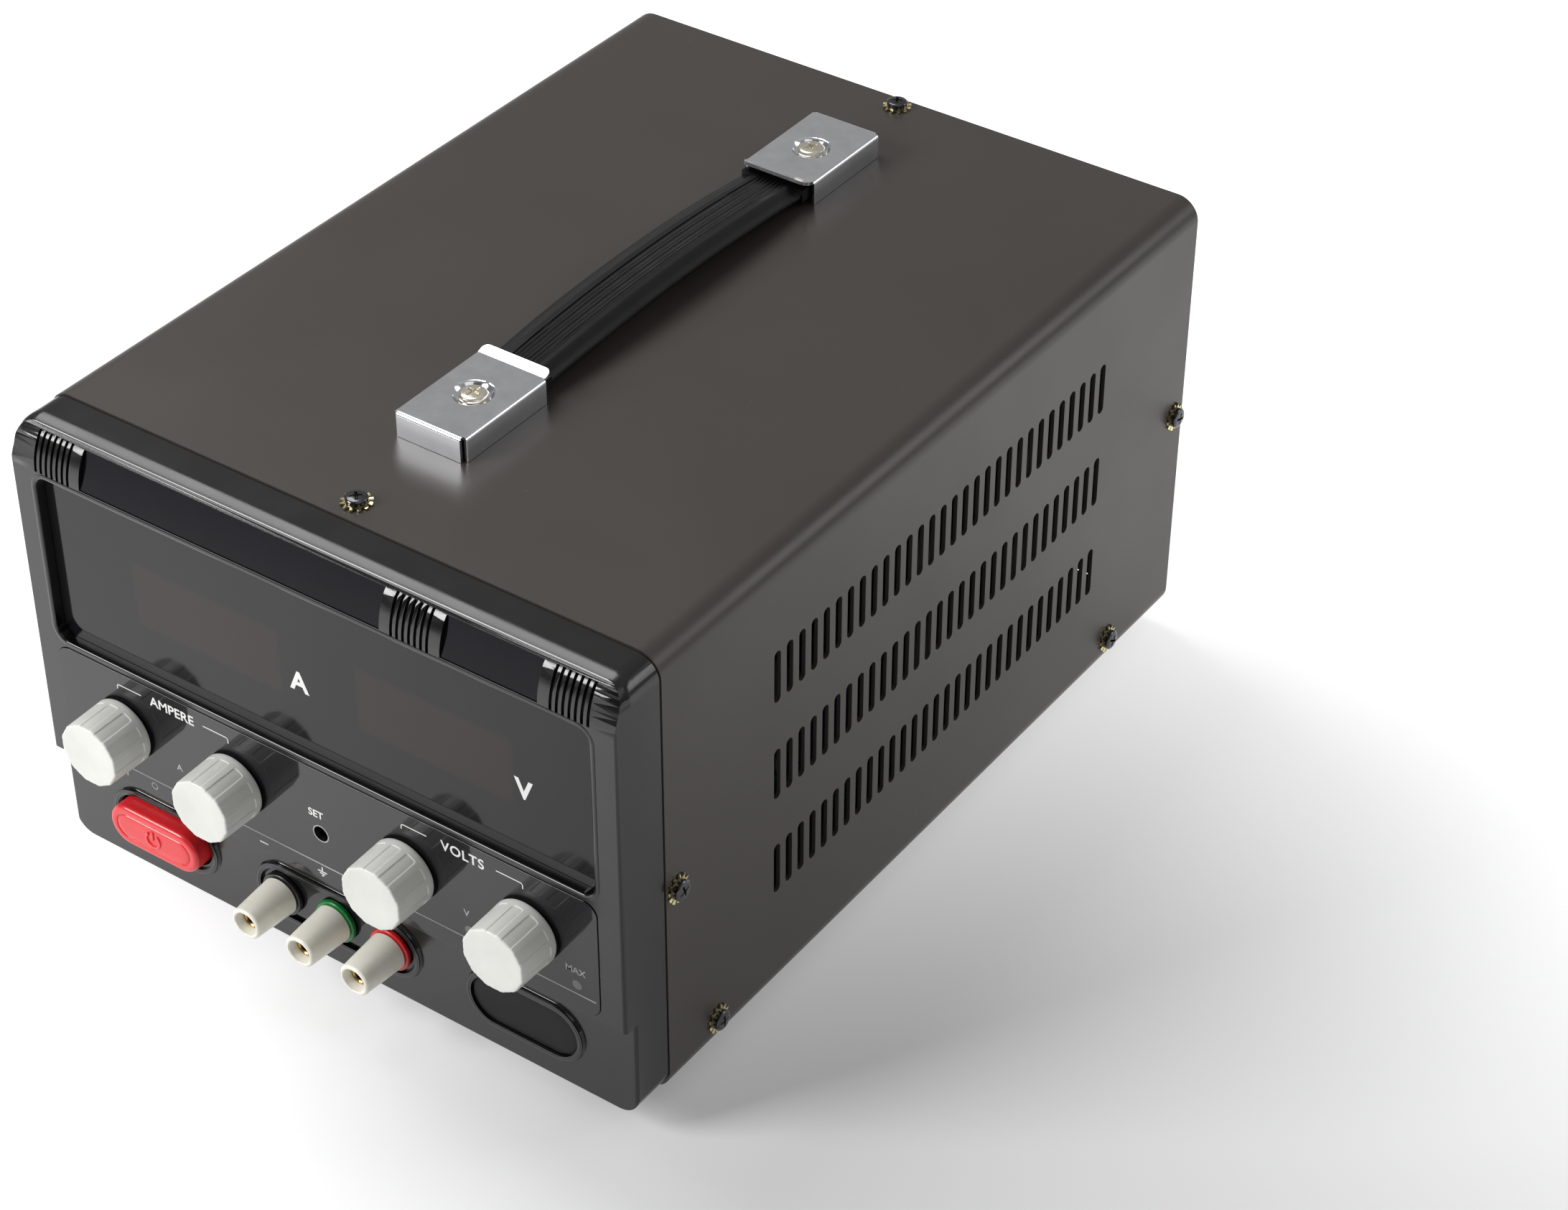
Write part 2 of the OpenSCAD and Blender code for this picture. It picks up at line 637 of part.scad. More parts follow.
module star_washers() color([0.82, 0.74, 0.42]) place() side_spots()
  translate([0, 0, 0.02]) difference() {
    cylinder(h = washer_t, r = washer_r);
    translate([0, 0, -1]) cylinder(h = 4, r = 1.85);
    for (a = [0 : 30 : 330]) rotate(a) translate([washer_r + 0.15, 0, -1]) cylinder(h = 4, r = 0.7);
  }

module foot_spots() { for (x = [-72, 72], y = [24, case_d - 26]) translate([x, y, 0]) children(); }

module feet() color([0.06, 0.06, 0.06]) place() foot_spots() difference() {
  translate([0, 0, -foot_h]) cylinder(h = foot_h + 1.38, r1 = 8, r2 = 9);
  translate([0, 0, -foot_h - 1]) cylinder(h = 4.2, r = 4);
  translate([0, 0, -foot_h]) cylinder(h = 20, r = 1.75);
}

module foot_screws() color([0.75, 0.75, 0.76]) place() foot_spots() {
  translate([0, 0, -foot_h + 1]) cylinder(h = 2.18, r = 3.4);
  translate([0, 0, -foot_h + 2]) cylinder(h = foot_h + 4, r = 1.72);
}

cover();
base_chassis();
rear_panel();
bezel();
display_window();
control_overlay();
nameplate_long();
nameplate_short();
power_button();
power_switch();
terminal_cap_minus();
terminal_cap_gnd();
terminal_cap_plus();
terminal_ring_black();
terminal_ring_green();
terminal_ring_red();
terminal_studs();
knob_current_coarse();
knob_current_fine();
knob_voltage_coarse();
knob_voltage_fine();
shaft_current_coarse();
shaft_current_fine();
shaft_voltage_coarse();
shaft_voltage_fine();
potentiometers();
trimmer_body();
trimmer_rotor();
status_leds();
display_board();
display_modules();
control_board();
main_board();
board_standoffs();
transformer_core();
transformer_winding();
capacitors();
heatsinks();
power_transistors();
fan_frame();
fan_rotor();
fan_guard();
fan_screws();
mains_inlet();
fuse_holder();
fuse_cap();
rear_post_bases();
rear_post_studs();
rear_washer_black();
rear_washer_red();
rear_cap_black();
rear_cap_red();
handle_brackets();
handle_strap();
handle_strap_ends();
handle_screws();
case_screws();
star_washers();
feet();
foot_screws();
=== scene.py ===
"""Bench power supply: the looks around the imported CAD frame.

Sizes are in millimetres in the case's own coordinates: X across the front, Y from the cover's front
seam towards the rear, Z up from the underside of the cover. at() takes them to the row frame. Only
the floor's glow and the lights are in metres, in the row frame itself.
"""

from math import cos, hypot, pi, radians, sin, sqrt

import bmesh
import bpy
from mathutils import Matrix, Vector


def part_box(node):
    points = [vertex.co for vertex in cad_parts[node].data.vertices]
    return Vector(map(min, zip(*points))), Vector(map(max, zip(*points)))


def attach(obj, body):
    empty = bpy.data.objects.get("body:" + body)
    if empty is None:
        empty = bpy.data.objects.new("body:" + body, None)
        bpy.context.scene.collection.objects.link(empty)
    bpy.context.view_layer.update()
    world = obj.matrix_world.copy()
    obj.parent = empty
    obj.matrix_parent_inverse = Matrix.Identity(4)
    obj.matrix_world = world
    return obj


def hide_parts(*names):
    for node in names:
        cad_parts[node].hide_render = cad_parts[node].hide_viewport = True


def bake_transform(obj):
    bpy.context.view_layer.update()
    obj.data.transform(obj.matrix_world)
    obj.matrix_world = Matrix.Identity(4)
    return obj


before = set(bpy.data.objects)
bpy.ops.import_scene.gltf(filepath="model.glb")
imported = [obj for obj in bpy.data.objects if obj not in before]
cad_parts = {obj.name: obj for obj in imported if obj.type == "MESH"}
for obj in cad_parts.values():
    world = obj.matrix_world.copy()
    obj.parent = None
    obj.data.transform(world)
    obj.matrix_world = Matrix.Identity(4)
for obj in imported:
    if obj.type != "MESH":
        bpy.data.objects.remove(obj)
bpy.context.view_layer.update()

MM = 0.001

# ---- places taken from the frame ----

cover_low, cover_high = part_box("cover")
COVER_GAP = 0.4
SEAM = cover_low.y - COVER_GAP * MM
BASE = cover_low.z
MIDDLE = (cover_low.x + cover_high.x) / 2
CASE_W = (cover_high.x - cover_low.x) / MM
CASE_H = (cover_high.z - cover_low.z) / MM


def at(x, y, z):
    """A point of the case in the row frame."""
    return Vector((MIDDLE + x * MM, SEAM + y * MM, BASE + z * MM))


def node_box(node):
    """Lowest and highest corner of a node in case coordinates."""
    low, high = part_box(node)
    origin = at(0, 0, 0)
    return [(v - origin) / MM for v in (low, high)]


def node_centre(node):
    """Middle of a node's box in case coordinates."""
    low, high = node_box(node)
    return (low + high) / 2


def middle_of(low, high):
    """(x, z) halfway between two corners: the axis of a turned form."""
    return ((low.x + high.x) / 2, (low.z + high.z) / 2)


def add_object(name, data):
    """A new object in the scene."""
    obj = bpy.data.objects.new(name, data)
    bpy.context.scene.collection.objects.link(obj)
    return obj


# ---- camera ----

CAMERA_AT = (500.5, -524.0, 666.4)
CAMERA_AZIMUTH = 34.84
CAMERA_ELEVATION = 37.47
CAMERA_ROLL = 0.28
CAMERA_LENS = 81.36
SENSOR = 36


def add_camera():
    """A long lens looking down at the right front corner."""
    data = bpy.data.cameras.new("camera")
    data.lens = CAMERA_LENS
    data.sensor_width = SENSOR
    data.clip_start = 0.01
    camera = add_object("camera", data)
    turn = Matrix.Rotation(radians(CAMERA_AZIMUTH), 4, "Z")
    tilt = Matrix.Rotation(radians(90 - CAMERA_ELEVATION), 4, "X")
    roll = Matrix.Rotation(radians(CAMERA_ROLL), 4, "Z")
    camera.matrix_world = Matrix.Translation(at(*CAMERA_AT)) @ turn @ tilt @ roll
    bpy.context.scene.camera = camera


add_camera()

# ---- materials ----


def linear(r, g, b):
    """An sRGB colour, 0 to 255, as linear values."""
    values = [c / 255 for c in (r, g, b)]
    return [c / 12.92 if c < 0.04045 else ((c + 0.055) / 1.055) ** 2.4 for c in values]


def ranged(tree, value, low, high, start, end):
    """A node that takes the value's range from start to end to low to high."""
    node = tree.nodes.new("ShaderNodeMapRange")
    for key, number in (("From Min", start), ("From Max", end), ("To Min", low), ("To Max", high)):
        node.inputs[key].default_value = number
    tree.links.new(value, node.inputs["Value"])
    return node


class Finish:
    """A Principled material whose grain, tone and gloss come from noise in the object's own space."""

    def __init__(self, name, colour, roughness, metallic=0.0, specular=0.5):
        """A plain finish, to which tone, gloss, grain and specks are added."""
        self.material = bpy.data.materials.new(name)
        self.material.use_nodes = True
        self.tree = self.material.node_tree
        self.shader = self.tree.nodes["Principled BSDF"]
        self.colour = linear(*colour)
        self.roughness = roughness
        self.shader.inputs["Metallic"].default_value = metallic
        self.shader.inputs["Specular IOR Level"].default_value = specular
        self.place = self.node("ShaderNodeTexCoord").outputs["Object"]
        self.bumps = []

    def node(self, kind, **settings):
        """A new shader node with its settings."""
        made = self.tree.nodes.new(kind)
        for key, value in settings.items():
            setattr(made, key, value)
        return made

    def link(self, a, b):
        """Join an output to an input."""
        self.tree.links.new(a, b)

    def stretched(self, scale):
        """The object's coordinates stretched by scale, for brushed or drawn surfaces."""
        mapping = self.node("ShaderNodeMapping")
        mapping.inputs["Scale"].default_value = scale
        self.link(self.place, mapping.inputs["Vector"])
        return mapping.outputs["Vector"]

    def noise(self, size, detail=3.0, stretch=None):
        """Noise whose features are about size millimetres across."""
        tex = self.node("ShaderNodeTexNoise")
        tex.inputs["Scale"].default_value = 1 / (size * MM)
        tex.inputs["Detail"].default_value = detail
        self.link(self.stretched(stretch) if stretch else self.place, tex.inputs["Vector"])
        return tex.outputs["Fac"]

    def span(self, value, low, high, start=0.3, end=0.7):
        """The value's range from start to end taken to low to high."""
        return ranged(self.tree, value, low, high, start, end).outputs["Result"]

    def math(self, operation, a, b=None):
        """a and b combined; b is 1 where it is missing."""
        node = self.node("ShaderNodeMath", operation=operation)
        self.link(a, node.inputs[0])
        if b is None:
            node.inputs[1].default_value = 1
        else:
            self.link(b, node.inputs[1])
        return node.outputs[0]

    def mix(self, colour, factor):
        """The base colour so far, mixed with another by factor."""
        mix = self.node("ShaderNodeMix", data_type="RGBA")
        mix.inputs["B"].default_value = (*linear(*colour), 1)
        self.link(self.base, mix.inputs["A"])
        self.link(factor, mix.inputs["Factor"])
        self.base = mix.outputs["Result"]
        self.link(self.base, self.shader.inputs["Base Color"])
        return self

    def tone(self, size, spread, other=None):
        """Slow changes of tone: the colour mixed with a darker, or another, one."""
        shade = linear(*other) if other else [c * (1 - spread) for c in self.colour]
        light = self.colour if other else [min(1, c * (1 + spread)) for c in self.colour]
        mix = self.node("ShaderNodeMix", data_type="RGBA")
        mix.inputs["A"].default_value = (*shade, 1)
        mix.inputs["B"].default_value = (*light, 1)
        self.link(self.span(self.noise(size), 0, 1), mix.inputs["Factor"])
        self.base = mix.outputs["Result"]
        self.link(self.base, self.shader.inputs["Base Color"])
        return self

    def gloss(self, size, spread, stretch=None):
        """Roughness that wanders by spread either way, as handling and dust leave it."""
        low, high = self.roughness - spread, self.roughness + spread
        self.link(self.span(self.noise(size, 4, stretch), low, high), self.shader.inputs["Roughness"])
        return self

    def grain(self, size, depth, detail=2.0, stretch=None):
        """Surface relief of the given size and depth in millimetres."""
        bump = self.node("ShaderNodeBump")
        bump.inputs["Strength"].default_value = 1
        bump.inputs["Distance"].default_value = depth * MM
        self.link(self.noise(size, detail, stretch), bump.inputs["Height"])
        if self.bumps:
            self.link(self.bumps[-1].outputs["Normal"], bump.inputs["Normal"])
        self.bumps.append(bump)
        self.link(bump.outputs["Normal"], self.shader.inputs["Normal"])
        return self

    def specks(self, size, radius, colour):
        """Sparse specks of dust, size millimetres apart."""
        tex = self.node("ShaderNodeTexVoronoi")
        tex.inputs["Scale"].default_value = 1 / (size * MM)
        self.link(self.place, tex.inputs["Vector"])
        near = self.span(tex.outputs["Distance"], 1, 0, radius / size * 0.6, radius / size)
        return self.mix(colour, near)


def moulded(name, colour, roughness, grain=0.4, depth=0.006, spread=0.05, specular=0.5):
    """Moulded plastic: fine grain, slow tone and gloss changes."""
    made = Finish(name, colour, roughness, specular=specular)
    made.tone(14, 0.07).gloss(9, spread).grain(grain, depth)
    return made


def metal(name, colour, roughness, grain=0.5, depth=0.004, spread=0.05, stretch=None):
    """A bare or plated metal with faint tone and gloss variation."""
    made = Finish(name, colour, roughness, metallic=1.0)
    made.tone(6, 0.06).gloss(3, spread, stretch).grain(grain, depth, stretch=stretch)
    return made


paint = Finish("case_paint", (56, 51, 48), 0.36, specular=0.36)
paint.tone(60, 0.05).gloss(35, 0.03).grain(0.35, 0.0035).grain(3.5, 0.004).specks(9, 0.12, (150, 146, 140))
abs_black = Finish("bezel_abs", (12, 11, 10), 0.2, specular=0.5)
abs_black.tone(30, 0.05).gloss(12, 0.03).grain(0.42, 0.014, 3).specks(12, 0.12, (140, 136, 130))
MATERIALS = {
    "paint": paint,
    "abs": abs_black,
    "gloss_black": moulded("gloss_black", (8, 8, 9), 0.12, 0.6, 0.0008, 0.02),
    "overlay": moulded("overlay_film", (21, 21, 24), 0.06, 1.5, 0.0004, 0.012, 0.44),
    "nameplate": moulded("nameplate_film", (12, 12, 18), 0.12, 0.5, 0.0006, 0.02, 0.18),
    "plate": moulded("blank_plate", (19, 18, 18), 0.44, 0.4, 0.01, 0.04, 0.16),
    "ink": moulded("white_ink", (214, 214, 212), 0.45, 0.3, 0.002),
    "dim_ink": moulded("grey_ink", (150, 150, 150), 0.45, 0.3, 0.002),
    "knob": moulded("knob_ivory_white", (203, 203, 198), 0.34, 0.5, 0.0015, 0.04),
    "ivory": moulded("cap_ivory", (222, 219, 207), 0.3, 0.6, 0.0015, 0.04),
    "red": moulded("red_plastic", (206, 36, 42), 0.26, 0.6, 0.002),
    "red_light": moulded("red_plastic_face", (222, 62, 68), 0.34, 0.5, 0.003),
    "green": moulded("green_plastic", (18, 112, 52), 0.28, 0.5, 0.002),
    "ring_red": moulded("ring_red_plastic", (186, 30, 34), 0.28, 0.5, 0.002),
    "black": moulded("black_plastic", (20, 20, 21), 0.3, 0.5, 0.004),
    "black_matt": moulded("black_plastic_matt", (26, 26, 27), 0.5, 0.35, 0.008),
    "rubber": moulded("rubber", (24, 24, 24), 0.72, 0.3, 0.01),
    "strap": moulded("pvc_strap", (8, 8, 9), 0.34, 0.5, 0.002, 0.05, 0.26),
    "adjuster": moulded("adjuster_plastic", (58, 58, 61), 0.3, 0.6, 0.001),
    "led": moulded("led_lens", (96, 96, 94), 0.2, 0.6, 0.001),
    "blue": moulded("trimmer_blue", (32, 74, 150), 0.4),
    "circuit": moulded("circuit_board", (20, 92, 48), 0.38, 1.2, 0.02),
    "sleeve": moulded("capacitor_sleeve", (28, 36, 84), 0.3),
    "brass": metal("brass", (176, 142, 82), 0.26),
    "chrome": metal("chrome", (214, 215, 218), 0.12, 2.5, 0.001, 0.03),
    "nickel": metal("nickel", (216, 210, 196), 0.24, 0.5, 0.003),
    "zinc": metal("zinc_steel", (168, 170, 172), 0.36, 1.5, 0.004),
    "yellow_zinc": metal("yellow_zinc", (228, 216, 168), 0.22, 0.6, 0.005),
    "black_steel": metal("black_steel", (84, 84, 86), 0.2, 0.5, 0.003),
    "anodised": metal("black_aluminium", (44, 44, 46), 0.42, 0.6, 0.006),
    "iron": metal("iron_core", (92, 94, 98), 0.5, 0.5, 0.02, 0.06, (1, 0.04, 0.04)),
    "copper": metal("copper_winding", (180, 104, 60), 0.34, 0.6, 0.03, 0.05, (0.04, 0.04, 1)),
}


DISPLAY_W = 50


def smoked_glass():
    """Smoked display window with the displays faintly warmer behind it."""
    made = moulded("smoked_window", (17, 17, 19), 0.08, 1.5, 0.0004, 0.012, 0.23)
    split = made.node("ShaderNodeSeparateXYZ")
    made.link(made.place, split.inputs[0])
    low, high = node_box("display_modules")
    mask = None
    for x0, x1 in ((low.x, low.x + DISPLAY_W), (high.x - DISPLAY_W, high.x)):
        product = None
        for axis, a, b in (("X", at(x0, 0, 0).x, at(x1, 0, 0).x),
                           ("Z", at(0, 0, low.z).z, at(0, 0, high.z).z)):
            for edge, sign in ((a, 1), (b, -1)):
                step = made.span(split.outputs[axis], 0, 1, edge - sign * MM, edge + sign * MM)
                product = made.math("MULTIPLY", step, product)
        mask = product if mask is None else made.math("MAXIMUM", mask, product)
    return made.mix((34, 24, 24), mask)


MATERIALS["window"] = smoked_glass()

NODE_FINISH = {
    "paint": ["cover", "rear_panel"],
    "zinc": ["base_chassis", "fan_guard", "fan_screws", "foot_screws"],
    "abs": ["bezel"],
    "window": ["display_window"],
    "overlay": ["control_overlay"],
    "nameplate": ["nameplate_long", "nameplate_short"],
    "red": ["power_button"],
    "black": ["power_switch", "mains_inlet", "fuse_holder", "fuse_cap", "rear_post_bases",
              "rear_cap_black", "terminal_ring_black", "power_transistors"],
    "black_matt": ["fan_frame", "fan_rotor", "display_modules"],
    "ivory": ["terminal_cap_minus", "terminal_cap_gnd", "terminal_cap_plus", "trimmer_rotor"],
    "green": ["terminal_ring_green"],
    "ring_red": ["terminal_ring_red", "rear_cap_red"],
    "brass": ["terminal_studs", "potentiometers", "board_standoffs", "rear_post_studs",
              "rear_washer_black", "rear_washer_red"],
    "knob": ["knob_current_coarse", "knob_current_fine", "knob_voltage_coarse", "knob_voltage_fine"],
    "nickel": ["shaft_current_coarse", "shaft_current_fine", "shaft_voltage_coarse",
               "shaft_voltage_fine", "handle_screws"],
    "blue": ["trimmer_body"],
    "led": ["status_leds"],
    "circuit": ["display_board", "control_board", "main_board"],
    "iron": ["transformer_core"],
    "copper": ["transformer_winding"],
    "sleeve": ["capacitors"],
    "anodised": ["heatsinks"],
    "chrome": ["handle_brackets"],
    "strap": ["handle_strap", "handle_strap_ends"],
    "black_steel": ["case_screws"],
    "yellow_zinc": ["star_washers"],
    "rubber": ["feet"],
}


def dress_nodes():
    """Put each finish on the CAD nodes that keep their own form."""
    for finish, nodes in NODE_FINISH.items():
        for name in nodes:
            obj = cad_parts[name]
            material = MATERIALS[finish].material
            if not obj.material_slots:
                obj.data.materials.append(material)
            for slot in obj.material_slots:
                slot.material = material


dress_nodes()

# ---- mesh helpers ----

SHARP, SOFT_ANGLE, FLAT = radians(32), radians(25), radians(0.4)


def mesh_of(name, points, faces):
    """A mesh in the row frame from points in case coordinates."""
    mesh = bpy.data.meshes.new(name)
    mesh.from_pydata([at(*p) for p in points], [], faces)
    return mesh


def add_piece(name, points, faces, finish, body="case", replaces=(), slot=None, sharp=SHARP):
    """A new piece from points in case coordinates."""
    return add_mesh(name, mesh_of(name, points, faces), finish, body, replaces, sharp)


def weld(mesh, reach=1e-6, flat=0.0):
    """Merge points nearer than reach, join faces flatter than flat and turn all faces outward."""
    work = bmesh.new()
    work.from_mesh(mesh)
    bmesh.ops.remove_doubles(work, verts=work.verts, dist=reach)
    if flat:
        bmesh.ops.dissolve_limit(work, angle_limit=flat, verts=work.verts, edges=work.edges)
    bmesh.ops.recalc_face_normals(work, faces=work.faces)
    work.to_mesh(mesh)
    work.free()


def tidy_mesh(mesh, sharp, flat=0.0):
    """Weld the mesh and smooth all edges flatter than sharp."""
    weld(mesh, flat=flat)
    mesh.shade_smooth()
    mesh.set_sharp_from_angle(angle=sharp)


def add_mesh(name, mesh, finish, body="case", replaces=(), sharp=SHARP):
    """A new piece from a mesh in the row frame. sharp is None where the mesh keeps its own normals."""
    if sharp:
        tidy_mesh(mesh, sharp)
    mesh.materials.clear()
    mesh.materials.append(MATERIALS[finish].material)
    obj = add_object(name, mesh)
    if body:
        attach(obj, body)
    if replaces:
        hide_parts(*replaces)
    return obj


def grid_faces(rows, columns, closed=True):
    """Quads between rows of points, each row with the same number of columns."""
    faces = []
    for r in range(rows - 1):
        for c in range(columns if closed else columns - 1):
            d = (c + 1) % columns
            faces.append([r * columns + c, r * columns + d, (r + 1) * columns + d, (r + 1) * columns + c])
    return faces


def skin(rows, caps=True):
    """Points and faces of a closed skin through rows of equal length."""
    points = [p for row in rows for p in row]
    count = len(rows[0])
    faces = grid_faces(len(rows), count)
    if caps:
        faces.append(list(range(count)))
        faces.append(list(range(len(points) - count, len(points))))
    return points, faces


def hoop(rows):
    """Points and faces of a tube whose last row joins its first."""
    count = len(rows[0])
    last = (len(rows) - 1) * count
    faces = grid_faces(len(rows), count)
    faces += [[last + c, last + (c + 1) % count, (c + 1) % count, c] for c in range(count)]
    return [p for row in rows for p in row], faces


def join(whole, part):
    """Add the points and faces of a part to those of a whole."""
    points, faces = whole
    faces += [[len(points) + i for i in f] for f in part[1]]
    points += part[0]


def axes(out, turn):
    """Right-handed axes with Z along out, turned about it."""
    z = Vector(out).normalized()
    x = Matrix.Rotation(turn, 3, z) @ z.orthogonal().normalized()
    return x, z.cross(x), z


def turned(centre, profile, steps=64, shape=None):
    """Rows of a form turned about Y from (radius, y) pairs; shape(angle, radius, y) alters the radius."""
    rows = []
    for radius, y in profile:
        row = []
        for i in range(steps):
            angle = 2 * pi * i / steps
            r = shape(angle, radius, y) if shape else radius
            row.append((centre[0] + r * cos(angle), y, centre[1] + r * sin(angle)))
        rows.append(row)
    return rows


def arc(cx, cy, r, a0, a1, steps=5):
    """Points of an arc from angle a0 to a1 in degrees."""
    angles = [radians(a0 + (a1 - a0) * i / steps) for i in range(steps + 1)]
    return [(cx + r * cos(a), cy + r * sin(a)) for a in angles]


def smoothstep(value, low, high):
    """0 below low, 1 above high, and an even S curve between."""
    t = min(1, max(0, (value - low) / (high - low)))
    return t * t * (3 - 2 * t)


def rounded_outline(w, h, r, steps=12):
    """Outline of a rounded rectangle as (x, z, outward x, outward z), corner arcs included."""
    outline = []
    for quarter, (sx, sz) in enumerate(((1, 1), (-1, 1), (-1, -1), (1, -1))):
        for i in range(steps + 1):
            a = radians(90 * quarter + 90 * i / steps)
            cx, cz = sx * (w / 2 - r), sz * (h / 2 - r)
            outline.append((cx + r * cos(a), cz + r * sin(a), cos(a), sin(a)))
    return outline


def swept_rim(name, centre, outline, section, finish, y, **extra):
    """A closed bead: section holds (outward, forward) steps around the outline on the plane at y."""
    rows = [[(centre[0] + x + nx * o, y - f, centre[1] + z + nz * o) for x, z, nx, nz in outline]
            for o, f in section]
    return add_piece(name, *hoop(rows), finish, **extra)


ROLL_START, ROLL_Z, BEZEL_D, CORNER_R = 12.0, 131.0, 17.0, 6.4
EASE_R, EASE_DEPTH, CUT_Z, CUT_Y = 3.0, 2.4, 0.45, 0.5
BEZEL_TOP, BEZEL_W = CASE_H - 0.6, CASE_W - 0.6
ROLL_R = ((BEZEL_D - ROLL_START) ** 2 + (BEZEL_TOP - ROLL_Z) ** 2) / (2 * (BEZEL_D - ROLL_START))


def rolled(mesh):
    """The bezel's top edge eased from its front roll into the flat band, all round the corners."""
    work = bmesh.new()
    work.from_mesh(mesh)
    for axis, values in (("z", [BEZEL_TOP - CUT_Z * k for k in range(1, 11)]),
                         ("y", [-ROLL_START + CUT_Y * k for k in range(1, 9)])):
        for value in values:
            above = [f for f in work.faces if f.calc_center_median().z > at(0, 0, ROLL_Z).z]
            parts = list({g for f in above for g in (*f.verts, *f.edges, f)})
            plane = at(0, 0, value) if axis == "z" else at(0, value, 0)
            bmesh.ops.bisect_plane(work, geom=parts, plane_co=plane,
                                   plane_no=(0, 0, 1) if axis == "z" else (0, 1, 0), dist=1e-6)
    for vert in work.verts:
        p = (vert.co - at(0, 0, 0)) / MM
        if p.z > ROLL_Z:
            p = eased(p)
        vert.co = at(*p)
    bmesh.ops.triangulate(work, faces=[f for f in work.faces if len(f.verts) > 4])
    work.to_mesh(mesh)
    work.free()


def eased(p):
    """A point of the bezel moved inward where the rolled front meets the outline."""
    half = BEZEL_W / 2 - CORNER_R
    dx, dz = max(abs(p.x) - half, 0), max(p.z - (BEZEL_TOP - CORNER_R), 0)
    away = hypot(dx, dz) if dx or dz else 0.0
    outline = away - CORNER_R if away else -CORNER_R
    centre = (ROLL_R - BEZEL_D, ROLL_Z)
    roll = hypot(p.y - centre[0], p.z - centre[1]) - ROLL_R
    surface = max(outline, roll)
    if surface < -EASE_DEPTH or not away:
        return p
    a, b = outline - surface + EASE_R, roll - surface + EASE_R
    gap = hypot(max(a, 0), max(b, 0)) - EASE_R
    if gap <= 0:
        return p
    out = Vector((dx / away * (1 if p.x > 0 else -1), 0, dz / away))
    front = Vector((0, p.y - centre[0], p.z - centre[1])).normalized()
    push = (out * max(a, 0) + front * max(b, 0)).normalized()
    slope = push.dot((out * max(a, 0) + front * max(b, 0)) / hypot(max(a, 0), max(b, 0)))
    share = smoothstep(EASE_DEPTH + surface, 0, 0.8) * smoothstep(p.z, ROLL_Z, ROLL_Z + 6)
    return p - push * (gap / max(slope, 0.5)) * share


def evaluated(maker):
    """The object's mesh with its modifiers applied."""
    return bpy.data.meshes.new_from_object(maker.evaluated_get(bpy.context.evaluated_depsgraph_get()))


def softened(node, finish, width, body, segments=3):
    """The node's own form with its edges rounded by width."""
    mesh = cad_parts[node].data.copy()
    tidy_mesh(mesh, SOFT_ANGLE, FLAT)
    maker = add_object(node + "_maker", mesh)
    bevel = maker.modifiers.new("round", "BEVEL")
    bevel.width = width * MM
    bevel.segments = segments
    bevel.limit_method = "ANGLE"
    bevel.angle_limit = SOFT_ANGLE
    if node == "bezel":
        maker.data = evaluated(maker)
        maker.modifiers.clear()
        rolled(maker.data)
    even = maker.modifiers.new("even", "WEIGHTED_NORMAL")
    even.keep_sharp = True
    made = evaluated(maker)
    bpy.data.objects.remove(maker)
    return add_mesh(node + "_finished", made, finish, body, (node,), None)


# ---- knobs ----

KNOB_FLUTES = 12
FLUTE_DEPTH = 0.21
FLUTE_HALF = 1.75
FLUTE_START = 2.3
FLUTE_CORNER = 0.7
KNOB_STEPS = 288
KNOB_BORE, KNOB_BORE_D = 3.2, 9.6
FACE_ROUND, KNOB_TAPER = 0.5, 0.25


def add_knob(node, body):
    """A knob with shallow flutes that run out through the face and end before a smooth rear ring."""
    low, high = node_box(node)
    centre = middle_of(low, high)
    rear, front = high.y, low.y
    radius = (high.z - low.z) / 2
    length = rear - front

    def fluted(angle, r, y):
        """The radius, less a flute's depth where one runs."""
        if r < radius - 1.2:
            return r
        depth = rear - y
        pitch = 2 * pi / KNOB_FLUTES
        across = ((angle + pitch / 2) % pitch - pitch / 2) * r
        dx = abs(across) - FLUTE_HALF + FLUTE_CORNER
        dy = FLUTE_START - depth + FLUTE_CORNER
        outside = hypot(max(dx, 0), max(dy, 0)) + min(max(dx, dy), 0) - FLUTE_CORNER
        return r - FLUTE_DEPTH * smoothstep(-outside, -0.05, 0.3)

    profile = [(0.02, rear - KNOB_BORE_D), (KNOB_BORE, rear - KNOB_BORE_D), (KNOB_BORE, rear),
               (radius - 0.5, rear), (radius - 0.15, rear - 0.12), (radius, rear - 0.45), (radius, rear - 1.2)]
    steps = [1.8 + 0.15 * i for i in range(12)] + [4.2, 5, 6.5, 8, 9.5, 11, 12, length - FACE_ROUND - 0.4]
    profile += [(radius - KNOB_TAPER * s / length, rear - s) for s in steps]
    r_face = radius - KNOB_TAPER - FACE_ROUND
    profile += [(r_face + FACE_ROUND * cos(radians(a)), front + FACE_ROUND * (1 - sin(radians(a))))
                for a in (0, 18, 36, 54, 72, 90)]
    profile += [(r_face - 1.2, front + 0.02), (r_face * 0.5, front + 0.04), (0.02, front + 0.05)]
    rows = turned(centre, profile, KNOB_STEPS, fluted)
    add_piece(node + "_moulded", *skin(rows), "knob", body, (node,), "ivory_plastic")


for control in ("current_coarse", "current_fine", "voltage_coarse", "voltage_fine"):
    add_knob("knob_" + control, f"knob_{control}_body")

# ---- front binding posts ----

